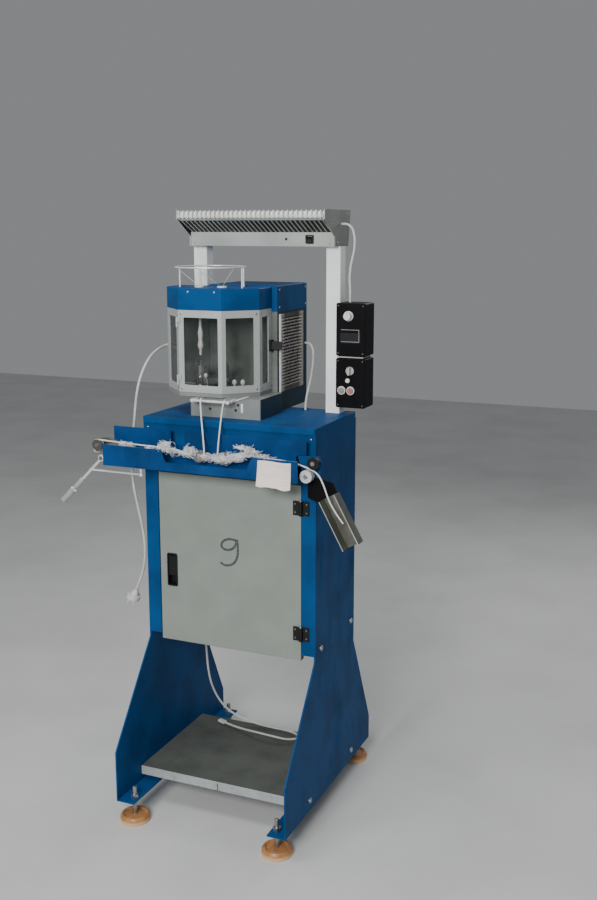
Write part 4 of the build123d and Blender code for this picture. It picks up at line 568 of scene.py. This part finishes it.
# Where a node has more than one finish: the node, the finish and two corners of a box
finishes = [
    ("axles_and_rods", white_plastic, (-113, -110, 1105), (1, -96.4, 1125)),
    ("axles_and_rods", tool_steel, (-400, -200, 945), (320, -100, 1035)),
    ("yarn_guides", ceramic, (-150, -30, 1236), (-40, 20, 1300)),
    ("dancer_arm", knob_grey, (-500, -180, 800), (-436, -155, 866)),
    ("yarn_guides", white_plastic, (-150, -30, 1400), (-40, 20, 1404.5)),
    ("yarn_comb", bright_steel, (-210, 30, 1535), (210, 95, 1575)),
    ("control_gear", black_paint, (-150, 30, 630), (-20, 158.5, 830)),
    ("control_gear", white_plastic, (20, 125, 595), (150, 158.5, 655)),
    ("tray_brackets", blue_paint, (-90, -140, 950), (180, -117, 1035)),
    ("tray_brackets", blue_paint, (231, -200, 948), (330, -130, 1060)),
    ("tray_brackets", zinc, (-380, -150, 940), (-280, -135, 1010)),
    ("fixed_cables", black_plastic, (-190, 80, 1225), (-149, 110, 1256)),
    ("fixed_cables", black_plastic, (-200, 78, 454), (-172, 106, 480)),
    ("hinge_frame_leaves", bright_steel, (203, -124.1, 500), (209, -118.9, 900)),
    ("panel_fittings", bright_steel, (215, 80, 1110), (275, 92.5, 1150)),
    ("panel_fittings", ceramic, (242, 80, 1150), (256, 92.5, 1170)),
    ("housing_shell", guard_wall, (-151, 76, 1100), (56, 78.5, 1336)),
    # Housing's right wall and head block's right face: blue darkened as painted shade
    ("housing_shell", shaded_side_paint, (54.5, 76, 1060), (56, 281, 1336)),
    ("head_block", shaded_side_paint, (68.5, -64, 1060), (69.5, 78, 1122)),
    # Trough's soffit under its lip: painted shade
    ("stop_motion_trough", soffit_shade_paint, (-208, 33, 1540), (208, 96, 1571.5)),
    # Trough's right end: painted shade
    ("stop_motion_trough", end_shade_paint, (207.5, 20, 1500), (212, 205, 1598)),
    # Trough's front strip behind the comb's teeth: painted light, whiter than the trough against
    # the shade between the teeth
    ("stop_motion_trough", white_paint, (-212, 24, 1576), (212, 26, 1594)),
    # Top edge of the tray's front wall: painted highlight
    ("take_down_tray", edge_highlight_paint, (-323, -199, 999.5), (231, -196, 1000.5)),
]
for row in finishes:
    paint_box(*row)


# A mesh piece with its material, riding on a body
def add_piece(name, mesh, material, body, smooth=True):
    for face in mesh.polygons:
        face.use_smooth = smooth
    mesh.materials.append(material)
    piece = bpy.data.objects.new(name, mesh)
    collection.objects.link(piece)
    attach(piece, body)
    return piece


# Radii of the cords in metres, and how finely their curves are divided along and around
LEAD_RADIUS, LOWER_RADIUS, KNIT_RADIUS = 0.0035, 0.003, 0.002
CORD_STEPS, CORD_ROUNDNESS = 10, 4


# Smooth cord drawn through listed control points, given in millimetres
def cord_curve(name, points, radius, material):
    curve = bpy.data.curves.new(name, "CURVE")
    curve.dimensions = "3D"
    curve.resolution_u = CORD_STEPS
    curve.bevel_depth = radius
    curve.bevel_resolution = CORD_ROUNDNESS
    curve.use_fill_caps = True
    spline = curve.splines.new("NURBS")
    spline.points.add(len(points) - 1)
    for control, point in zip(spline.points, points):
        control.co = (*at(*point), 1.0)
    spline.order_u = 3
    spline.use_endpoint_u = True
    curve.materials.append(material)
    piece = bpy.data.objects.new(name, curve)
    collection.objects.link(piece)
    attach(piece, "stand")
    return piece


lead_points = [
    (-176, 95, 1240),
    (-212, 95, 1240),
    (-250, 76, 1243),
    (-268, 30, 1236),
    (-262, -26, 1226),
    (-255, -76, 1207),
    (-262, -104, 1163),
    (-272, -108, 1110),
    (-279, -107, 1052),
    (-288, -108, 992),
    (-291, -109, 932),
    (-289, -107, 876),
    (-278, -106, 819),
    (-264, -108, 766),
    (-256, -109, 712),
    (-260, -107, 660),
    (-274, -106, 615),
    (-289, -107, 581),
]
lead = cord_curve("lead_sheath", lead_points, LEAD_RADIUS, white_rubber)
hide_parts("mains_lead")

lower_points = [
    (-186, 92, 455),
    (-186, 92, 402),
    (-184, 95, 344),
    (-183, 100, 290),
    (-179, 109, 240),
    (-168, 122, 196),
    (-148, 133, 160),
    (-119, 142, 136),
    (-82, 149, 122),
    (-42, 153, 113),
    (2, 155, 110),
    (46, 154, 111),
    (84, 142, 112),
    (98, 112, 113),
    (74, 88, 117),
    (32, 84, 121),
    (-16, 92, 119),
    (-64, 106, 113),
    (-110, 118, 110.5),
    (-144, 130, 110.5),
]
lower = cord_curve("lower_sheath", lower_points, LOWER_RADIUS, white_rubber)
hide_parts("lower_lead")

right_cord_points = [
    (-20, -50, 1109),
    (-19, -78, 1113),
    (-15, -105, 1126),
    (-1, -168, 1006),
    (-1, -168, 976.9),
    (13, -168, 968.5),
    (70, -168, 998.8),
    (139, -168, 995),
    (205, -168, 991),
    (252.4, -168, 978.3),
    (273, -169, 967),
    (287, -170, 943),
    (299, -171, 910),
    (316, -171, 879),
    (339, -171, 851),
]
right_cord = cord_curve("right_cord", right_cord_points, KNIT_RADIUS, yarn)
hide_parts("right_knit_cord")

left_cord_points = [
    (-88, -50, 1109),
    (-87, -78, 1113),
    (-84, -105, 1126),
    (-39, -168, 1006),
    (-39, -168, 976.9),
    (-53, -168, 968.5),
    (-108, -168, 997.5),
    (-180, -168, 999),
    (-255, -168, 1001),
    (-318, -168, 1003.5),
    (-361, -168, 1005.4),
    (-369.4, -168, 997),
    (-369.4, -167, 979),
    (-368, -160, 968),
    (-367, -146.3, 966),
]
left_cord = cord_curve("left_cord", left_cord_points, KNIT_RADIUS, yarn)
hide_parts("left_knit_cord")

# Slip of paper hung on the tray's front, its lower edge curled and drooping to the right
NOTE_LEFT, NOTE_RIGHT = 124.0, 213.0
NOTE_TOP = 995.0
NOTE_FACE = -198.35
NOTE_DROP = 63.0
NOTE_SLANT = 5.0
NOTE_DRAWN_IN = 2.5
NOTE_CURL = 5.5
NOTE_WAVE = 0.9
NOTE_CREST = 1.2
NOTE_COLUMNS, NOTE_ROWS = 36, 30
# In metres
PAPER_THICKNESS = 0.00025


# Height of the slip, from its top to its rippled lower edge, at a share of its width
def note_drop(along):
    ripple = 1.4 * math.sin(along * math.pi * 3.2) + 0.8 * math.sin(along * 17)
    return NOTE_DROP + NOTE_SLANT * along + ripple


# Place of the slip's paper at a share of its width and of its height
def note_point(along, down):
    width = NOTE_RIGHT - NOTE_LEFT
    x = NOTE_LEFT + width * along - NOTE_DRAWN_IN * down * (1 - along)
    wave = NOTE_WAVE * down * math.sin(along * 9 + down * 2)
    curl = NOTE_CURL * down**3 + wave + NOTE_WAVE * down
    crest = NOTE_CREST * math.sin(along * 6) * (1 - down)
    return at(x, NOTE_FACE - curl, NOTE_TOP - note_drop(along) * down + crest)


# Slip of paper as a grid of squares, without thickness
def note_mesh():
    made = bmesh.new()
    grid = []
    for row in range(NOTE_ROWS + 1):
        line = []
        for column in range(NOTE_COLUMNS + 1):
            place = note_point(column / NOTE_COLUMNS, row / NOTE_ROWS)
            line.append(made.verts.new(place))
        grid.append(line)
    for upper, under in zip(grid, grid[1:]):
        for corners in zip(upper, upper[1:], under[1:], under):
            made.faces.new(corners)
    mesh = bpy.data.meshes.new("note_slip")
    made.to_mesh(mesh)
    made.free()
    return mesh


note = add_piece("note_slip", note_mesh(), paper, "stand")
thickness = note.modifiers.new("thickness", "SOLIDIFY")
thickness.thickness = PAPER_THICKNESS
thickness.offset = -1
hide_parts("paper_note")


# Points round a centre, in the plane of two directions
def ring_points(centre, side, over, radius, sides):
    turns = [2 * math.pi * step / sides for step in range(sides)]
    return [centre + radius * (math.cos(turn) * side + math.sin(turn) * over) for turn in turns]


# Mesh of closed skins, each given as rings of points that follow each other
def loft_mesh(name, skins):
    made = bmesh.new()
    for skin in skins:
        rings = [[made.verts.new(point) for point in ring] for ring in skin]
        for first, second in zip(rings, rings[1:]):
            for step in range(len(first)):
                after = (step + 1) % len(first)
                made.faces.new((first[step], first[after], second[after], second[step]))
        made.faces.new(tuple(reversed(rings[0])))
        made.faces.new(tuple(rings[-1]))
    made.normal_update()
    mesh = bpy.data.meshes.new(name)
    made.to_mesh(mesh)
    made.free()
    return mesh


# Length below which what is left of a direction is too short to use
LEAST_SIDE = 1e-3


# Sideways direction for a ring, turned as little as possible from the last ring's
def carried_side(last, ahead):
    if last is None:
        return ahead.orthogonal().normalized()
    flat = last - ahead * last.dot(ahead)
    if flat.length < LEAST_SIDE:
        return ahead.orthogonal().normalized()
    return flat.normalized()


# Share of its radius that a strand keeps at its two ends
STRAND_END = 0.35


# Tube along points, drawn in at both ends
def strand_rings(points, radius, sides):
    rings = []
    side = None
    last = len(points) - 1
    for index, point in enumerate(points):
        ahead = (points[min(index + 1, last)] - points[max(index - 1, 0)]).normalized()
        side = carried_side(side, ahead)
        size = radius * (STRAND_END if index in (0, last) else 1.0)
        rings.append(ring_points(point, side, ahead.cross(side), size, sides))
    return rings


# Piece of joined tubes, each a list of points and a radius in metres
def add_strands(name, strands, material, body, sides):
    skins = [strand_rings(points, radius, sides) for points, radius in strands]
    return add_piece(name, loft_mesh(name, skins), material, body)


# Tufts of loose fibre along the tray: middle, half sizes and number of strands
SEED = 7
chance = random.Random(SEED)
tufts = [
    ((-142, -189, 1007), (15, 7, 13), 150),
    ((-116, -189, 998), (18, 6, 6), 34),
    ((-90, -190, 994), (18, 6, 5), 26),
    ((-67, -189, 1001), (14, 7, 12), 130),
    ((-26, -190, 990), (16, 6, 6), 40),
    ((6, -190, 987), (14, 6, 7), 60),
    ((30, -190, 989), (18, 7, 9), 100),
    ((58, -189, 996), (22, 7, 8), 110),
    ((84, -189, 1004), (18, 7, 6), 46),
    ((78, -186, 1020), (26, 5, 4), 44),
    ((104, -187, 1012), (20, 6, 5), 50),
    ((130, -187, 1002), (20, 6, 5), 50),
    ((-182, -189, 1002), (8, 5, 4), 22),
    ((-246, -189, 1003), (9, 5, 4), 26),
    ((-268, -188, 1004), (7, 5, 4), 20),
]
STRAND_STEPS = 9
STEP_SHORT, STEP_LONG = 1.6, 3.6
TUFT_FRONT, TUFT_REAR = -202.0, -181.0
TUFT_FLOOR = 972.0
# How strongly a strand turns at each step, at random and towards the middle of its tuft
WANDER, PULL_BACK = 0.55, 0.25
# Radii of a strand, in metres
STRAND_THIN, STRAND_THICK = 0.00022, 0.00055


# One wandering strand, pulled back towards the middle of its tuft
def tuft_strand(centre, halves):
    point = Vector([c + h * chance.uniform(-1, 1) for c, h in zip(centre, halves)])
    heading = Vector([chance.uniform(-limit, limit) for limit in (1, 0.4, 0.5)])
    line = [point * MM]
    for _ in range(STRAND_STEPS):
        pull = Vector([(c - p) / h for c, p, h in zip(centre, point, halves)])
        bend = Vector([chance.uniform(-1, 1) for _ in range(3)])
        heading = (heading + WANDER * bend + PULL_BACK * pull).normalized()
        point = point + heading * chance.uniform(STEP_SHORT, STEP_LONG)
        point.y = max(TUFT_FRONT, min(TUFT_REAR, point.y))
        point.z = max(TUFT_FLOOR, point.z)
        line.append(point * MM)
    return line, chance.uniform(STRAND_THIN, STRAND_THICK)


fibres = [tuft_strand(centre, halves) for centre, halves, count in tufts for _ in range(count)]
lint = add_strands("tray_lint", fibres, lint_fibre, "stand", sides=4)

# Pan head screws with a cross recess: shares of the head's radius, from its middle and in height
SCREW_SIDES = 16
HEAD_PROFILE = ((1.0, 0.0), (1.0, 0.25), (0.86, 0.48), (0.55, 0.62))
RECESS_ARM = (0.50, 0.30)
RECESS_GAP = (0.20, 0.62)
RECESS_ARMS = 4


# Rings of one screw head standing on a face
def screw_rings(centre, outward, radius):
    outward = Vector(outward).normalized()
    side = outward.orthogonal().normalized()
    over = outward.cross(side)
    size = radius * MM

    def level(share, height):
        middle = at(*centre) + size * height * outward
        return ring_points(middle, side, over, size * share, SCREW_SIDES)

    recess = level(*RECESS_GAP)
    every = SCREW_SIDES // RECESS_ARMS
    recess[::every] = level(*RECESS_ARM)[::every]
    return [level(*row) for row in HEAD_PROFILE] + [recess]


# Piece of screw heads, each a centre, an outward direction and a radius
def add_screws(name, spots, material, body):
    mesh = loft_mesh(name, [screw_rings(*spot) for spot in spots])
    return add_piece(name, mesh, material, body, smooth=False)


# Screws of one kind at every mix of the given coordinates
def rows(outward, radius, across, deep, heights):
    return [((x, y, z), outward, radius) for x in across for y in deep for z in heights]


FRONT = (0, -1, 0)
RIGHT = (1, 0, 0)
LEFT = (-1, 0, 0)
FRONT_RIGHT = (1, -1, 0)
FRONT_LEFT = (-1, -1, 0)
GUARD_PLANE = -73.0
GUARD_ROWS = (1141, 1335)
DOOR_ROWS = (1140.5, 1335.5)
APRON_FACE = -118.0
CAP_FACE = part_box("cap")[0].y / MM
BOX_FACE = 92.0
LEAF_FACE = -119.0
HINGE_HEIGHTS = (529.5, 862.5)
LEAF_SCREW_OFFSET = 11
leaf_rows = [z + way * LEAF_SCREW_OFFSET for z in HINGE_HEIGHTS for way in (-1, 1)]

guard_door_screws = [
    *rows(FRONT, 3.2, [-151], [GUARD_PLANE], DOOR_ROWS),
    *rows(FRONT_RIGHT, 3.2, [32.5], [-6.5], DOOR_ROWS),
    *rows(RIGHT, 2.6, [39], [9, 66], GUARD_ROWS),
]
# Guard, louvre, housing lid, apron, trough's lip, trough's end and cap, in this order
cover_screws = [
    *rows(FRONT_LEFT, 3.0, [-166], [-67], GUARD_ROWS),
    *rows(FRONT_LEFT, 3.0, [-227], [-6], GUARD_ROWS),
    *rows(LEFT, 2.6, [-233], [9, 68], GUARD_ROWS),
    *rows(RIGHT, 2.6, [59], [93, 238], [1125, 1323]),
    *rows(RIGHT, 3.0, [55], [90, 266], [1346, 1392]),
    *rows(FRONT, 3.2, [-232, 232], [APRON_FACE], [934, 1040]),
    *rows(FRONT, 2.6, [-196, 196], [95], [1512]),
    *[((211, y, z), RIGHT, 3.0) for y, z in ((60, 1570), (180, 1588), (110, 1515))],
    *rows(FRONT, 3.4, [-130, -54], [CAP_FACE], [1391]),
]
box_screws = rows(FRONT, 2.2, [221, 289], [BOX_FACE], [1232, 1355, 1096, 1212])
door_leaf_screws = rows(FRONT, 2.8, [190], [LEAF_FACE], leaf_rows)
frame_leaf_screws = rows(FRONT, 2.8, [221], [LEAF_FACE], leaf_rows)
add_screws("guard_door_screws", guard_door_screws, zinc, "guard_door")
add_screws("cover_screws", cover_screws, zinc, "stand")
add_screws("box_screws", box_screws, dark_steel, "stand")
add_screws("door_hinge_screws", door_leaf_screws, dark_steel, "front_door")
add_screws("frame_hinge_screws", frame_leaf_screws, dark_steel, "stand")


# Mesh of a curve object as it stands
def curve_mesh(piece):
    bpy.context.view_layer.update()
    graph = bpy.context.evaluated_depsgraph_get()
    return bpy.data.meshes.new_from_object(piece.evaluated_get(graph))


# Width of the felt pen's stroke in metres, how far it is flattened on the door, and how finely
# its curve is divided along and around
PEN_WIDTH = 0.0062
PEN_FLATNESS = 0.12
PEN_STEPS, PEN_ROUNDNESS = 8, 2


# Figure drawn by hand on the door: a thin flattened stroke through points across and up
def pen_stroke(name, points, width, material, body):
    curve = bpy.data.curves.new(name, "CURVE")
    curve.dimensions = "3D"
    curve.bevel_depth = width / 2
    curve.bevel_resolution = PEN_ROUNDNESS
    curve.use_fill_caps = True
    curve.resolution_u = PEN_STEPS
    spline = curve.splines.new("NURBS")
    spline.points.add(len(points) - 1)
    for control, (x, z) in zip(spline.points, points):
        control.co = (*at(x, 0, z), 1.0)
    spline.order_u = 4
    spline.use_endpoint_u = True
    shape = bpy.data.objects.new(name, curve)
    collection.objects.link(shape)
    mesh = curve_mesh(shape)
    bpy.data.objects.remove(shape)
    door_face = Matrix.Translation((0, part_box("front_door")[0].y, 0))
    mesh.transform(door_face @ Matrix.Diagonal((1, PEN_FLATNESS, 1, 1)))
    return add_piece(name, mesh, material, body)


# Felt pen: dark green-black, faded in places
def ink_material():
    material, tree, shader = new_material("felt_ink")
    fade = between(tree, noise(tree, scale=260, detail=5, roughness=0.7), 0.42, 0.72)
    base = mixed(tree, fade, (0.030, 0.042, 0.042), (0.13, 0.15, 0.145))
    tree.links.new(base, shader.inputs["Base Color"])
    shader.inputs["Roughness"].default_value = 0.6
    return material


ink = ink_material()
figure_points = [
    (22, 757),
    (8, 762),
    (-16, 756),
    (-24, 738),
    (-12, 728),
    (8, 730),
    (20, 742),
    (23, 757),
    (25, 761),
    (27, 742),
    (27, 718),
    (20, 698),
    (2, 686),
    (-17, 686),
    (-24, 694),
]
pen_stroke("door_figure", figure_points, PEN_WIDTH, ink, "front_door")


# Middle line of a cord, read from its own spline
def cord_path(piece):
    data = piece.data.copy()
    data.bevel_depth = 0
    line = bpy.data.objects.new("cord_path", data)
    collection.objects.link(line)
    mesh = curve_mesh(line)
    points = [vertex.co.copy() for vertex in mesh.vertices]
    bpy.data.objects.remove(line)
    bpy.data.meshes.remove(mesh)
    return points


# Sleeve at the start of the mains lead, in metres: where along the lead it begins and ends, its
# radius there, and one rib's rings as a shift along the lead and a share of the radius
RELIEF_START, RELIEF_END = 0.013, 0.044
RELIEF_WIDE, RELIEF_NARROW = 0.0066, 0.0045
RIB_RINGS = ((-0.0006, 0.90), (0.0, 1.0), (0.0008, 1.0), (0.0014, 0.90))
RELIEF_SIDES = 20


# Ribbed tapering sleeve round a cord
def cord_relief(name, piece, material):
    path = cord_path(piece)
    travelled = 0.0
    stations = []
    for before, point in zip(path, path[1:]):
        travelled += (point - before).length
        if RELIEF_START <= travelled <= RELIEF_END:
            stations.append((point, (point - before).normalized()))
    rings = []
    side = None
    for index, (point, heading) in enumerate(stations):
        side = carried_side(side, heading)
        over = heading.cross(side)
        size = RELIEF_WIDE + (RELIEF_NARROW - RELIEF_WIDE) * index / (len(stations) - 1)
        for shift, share in RIB_RINGS:
            middle = point + heading * shift
            rings.append(ring_points(middle, side, over, share * size, RELIEF_SIDES))
    return add_piece(name, loft_mesh(name, [rings]), material, "stand")


cord_relief("lead_relief", lead, white_rubber)

# Grip pushed on the dancer arm, from its upper end down
ARM_PIVOT = Vector((-344.0, -168.0, 957.0))
ARM_ALONG = Vector((-1, 0, -1)).normalized()
GRIP_START, GRIP_STEP, GRIP_STEPS = 84, 6, 8
GRIP_RADIUS = 6.6
grip_line = [
    (ARM_PIVOT + ARM_ALONG * (GRIP_START + GRIP_STEP * step)) * MM for step in range(GRIP_STEPS + 1)
]
grip = (grip_line, GRIP_RADIUS * MM)
add_strands("dancer_grip", [grip], knob_grey, "dancer_arm", sides=24)

# Threads led from the crown into the inlets: start, the point that each bows towards, end
THREAD_RADIUS = 0.6
THREAD_STEPS = 6
thread_bows = [
    ((-90, -92, 1452), (-84, -60, 1432), (-66, -14, 1405)),
    ((-12, -40, 1452), (-36, -26, 1430), (-61, -9, 1405)),
    ((-176, -50, 1452), (-155, -32, 1430), (-132, -10, 1405)),
]


# Points along a bow, in metres
def bow_points(bow):
    start, middle, stop = [at(*point) for point in bow]
    shares = [step / THREAD_STEPS for step in range(THREAD_STEPS + 1)]
    return [start.lerp(middle, t).lerp(middle.lerp(stop, t), t) for t in shares]


threads = [(bow_points(bow), THREAD_RADIUS * MM) for bow in thread_bows]
add_strands("crown_threads", threads, yarn, "stand", sides=6)

# Small white guides on stems, seen through the guard's windows: profiles as radius and height
KNOB_PROFILE = (
    (2.2, 0),
    (2.2, 16),
    (3.2, 18),
    (5.6, 21),
    (6.4, 25),
    (5.6, 29),
    (3.4, 32),
    (1.4, 33),
)
EYELET_PROFILE = ((2.2, 0), (2.2, 1.0), (4.4, 3), (5.4, 6.5), (4.6, 10), (2.6, 12), (1.0, 12.6))
TURNED_SIDES = 20
ACROSS, DEEP = Vector((1, 0, 0)), Vector((0, 1, 0))


# Piece of upright turned forms, all with one profile
def add_turned(name, spots, profile, material):
    skins = []
    for x, y, z in spots:
        levels = [(at(x, y, z + height), radius * MM) for radius, height in profile]
        skins.append(
            [ring_points(middle, ACROSS, DEEP, size, TURNED_SIDES) for middle, size in levels]
        )
    return add_piece(name, loft_mesh(name, skins), material, "stand")


knobs = add_turned("white_guides", [(-25, -20, 1131), (-4, -14, 1131)], KNOB_PROFILE, ceramic)
eyelet = add_turned("cam_guide", [(-101, -36, 1166)], EYELET_PROFILE, ceramic)

# Widest bevel round the front of a flat bar
BAR_EDGE = 0.6


# Flat bars with bevelled fronts: left, right, bottom and top, then back and front
def add_bars(name, bars, material):
    skins = []
    for left, right, bottom, top, back, front in bars:
        edge = min(BAR_EDGE, 0.6 * (back - front), 0.25 * (right - left), 0.25 * (top - bottom))
        rings = []
        for y, inset in ((back, 0.0), (front + edge, 0.0), (front, edge)):
            low = at(left + inset, y, bottom + inset)
            high = at(right - inset, y, top - inset)
            corners = ((low.x, low.z), (high.x, low.z), (high.x, high.z), (low.x, high.z))
            rings.append([(x, low.y, z) for x, z in corners])
        skins.append(rings)
    return add_piece(name, loft_mesh(name, skins), material, "stand", smooth=False)


# Pale outline of the display on the speed box, and the strip between the two boxes
DISPLAY_LEFT, DISPLAY_RIGHT = 229.0, 279.0
DISPLAY_BOTTOM, DISPLAY_TOP = 1262.0, 1294.0
DISPLAY_UPPER_LINE, DISPLAY_LINE = 1.2, 1.0
DISPLAY_GAP = 0.1
DISPLAY_FACES = (BOX_FACE, BOX_FACE - 1.0)
upper_edge = DISPLAY_TOP - DISPLAY_UPPER_LINE
lower_edge = DISPLAY_BOTTOM + DISPLAY_LINE
side_edge = DISPLAY_RIGHT - DISPLAY_LINE
display_lines = [
    (DISPLAY_LEFT, DISPLAY_RIGHT, upper_edge, DISPLAY_TOP, *DISPLAY_FACES),
    (DISPLAY_LEFT, DISPLAY_RIGHT, DISPLAY_BOTTOM, lower_edge, *DISPLAY_FACES),
    (side_edge, DISPLAY_RIGHT, lower_edge + DISPLAY_GAP, upper_edge - DISPLAY_GAP, *DISPLAY_FACES),
]
add_bars("display_outline", display_lines, knob_grey)
add_bars("box_seam_strip", [(218, 290, 1220.5, 1223.5, 150, 93.0)], knob_grey)

# Sheet that closes the guard's back to the left of the drive housing
SHEET_INSET = 1.0
SHEET_CLEAR = 0.2
SHEET_THICKNESS = 1.5
frame_low, frame_high = [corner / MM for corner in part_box("guard_frame")]
sheet_front = frame_high.y + SHEET_CLEAR
back_sheet = (
    frame_low.x + SHEET_INSET,
    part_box("housing_shell")[0].x / MM - SHEET_CLEAR,
    frame_low.z + SHEET_INSET,
    frame_high.z - SHEET_INSET,
    sheet_front + SHEET_THICKNESS,
    sheet_front,
)
add_bars("guard_back", [back_sheet], guard_wall)

# White strip, lever and screws on the front of the head block, and a screw on the trough
BLOCK_FACE = -63.0
LEVER_FACE = -64.4
LEVER_RADIUS = 1.8
TROUGH_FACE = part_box("stop_motion_trough")[0].y / MM
add_bars("block_strip", [(14, 20, 1084, 1108, BLOCK_FACE, BLOCK_FACE - 1.2)], ceramic)
lever_places = ((-8, 1112), (4, 1116.5), (20, 1122.5), (38, 1128.5))
lever_line = [at(x, LEVER_FACE, z) for x, z in lever_places]
lever = (lever_line, LEVER_RADIUS * MM)
add_strands("tension_lever", [lever], white_plastic, "stand", sides=10)
block_places = ((-75, 1090), (-1, 1090), (6, 1104))
block_screws = [((x, BLOCK_FACE, z), FRONT, 3.4) for x, z in block_places]
trough_screws = rows(FRONT, 3.4, [106], [TROUGH_FACE], [1524])
add_screws("block_screws", block_screws, black_plastic, "stand")
add_screws("trough_screw", trough_screws, black_plastic, "stand")

# Floor and studio light, in metres and watts
FLOOR_SIZE = 14
bpy.ops.mesh.primitive_plane_add(size=FLOOR_SIZE, location=(0, 0, 0))
floor = bpy.context.object
floor.name = "floor"
floor_material, floor_tree, floor_shader = new_material("pale_floor")
floor_clouds = noise(floor_tree, scale=2.2, detail=5)
floor_shade = between(floor_tree, floor_clouds, 0.35, 0.7)
floor_base = mixed(floor_tree, floor_shade, (0.62, 0.62, 0.61), (0.56, 0.56, 0.55))
floor_tree.links.new(floor_base, floor_shader.inputs["Base Color"])
floor_shader.inputs["Roughness"].default_value = 0.75
floor.data.materials.append(floor_material)

world = bpy.data.worlds.new("studio")
world.use_nodes = True
background = world.node_tree.nodes["Background"]
background.inputs["Color"].default_value = (0.80, 0.83, 0.86, 1)
background.inputs["Strength"].default_value = 0.29
bpy.context.scene.world = world


# Soft area light that looks at a point of the machine
def area_light(name, place, target, size, power):
    data = bpy.data.lights.new(name, "AREA")
    data.shape = "RECTANGLE"
    data.size, data.size_y = size
    data.energy = power
    light = bpy.data.objects.new(name, data)
    light.location = place
    towards = Vector(target) - Vector(place)
    light.rotation_euler = towards.to_track_quat("-Z", "Y").to_euler()
    collection.objects.link(light)


area_light("key", place=(0.45, -3.7, 2.4), target=(0, 0, 0.9), size=(1.6, 1.1), power=150)
area_light("top", place=(-0.4, -0.9, 3.4), target=(0, 0, 0.9), size=(1.4, 1.0), power=30)
area_light("back", place=(0.6, 2.6, 2.4), target=(0, 0, 1.0), size=(2.0, 1.2), power=25)
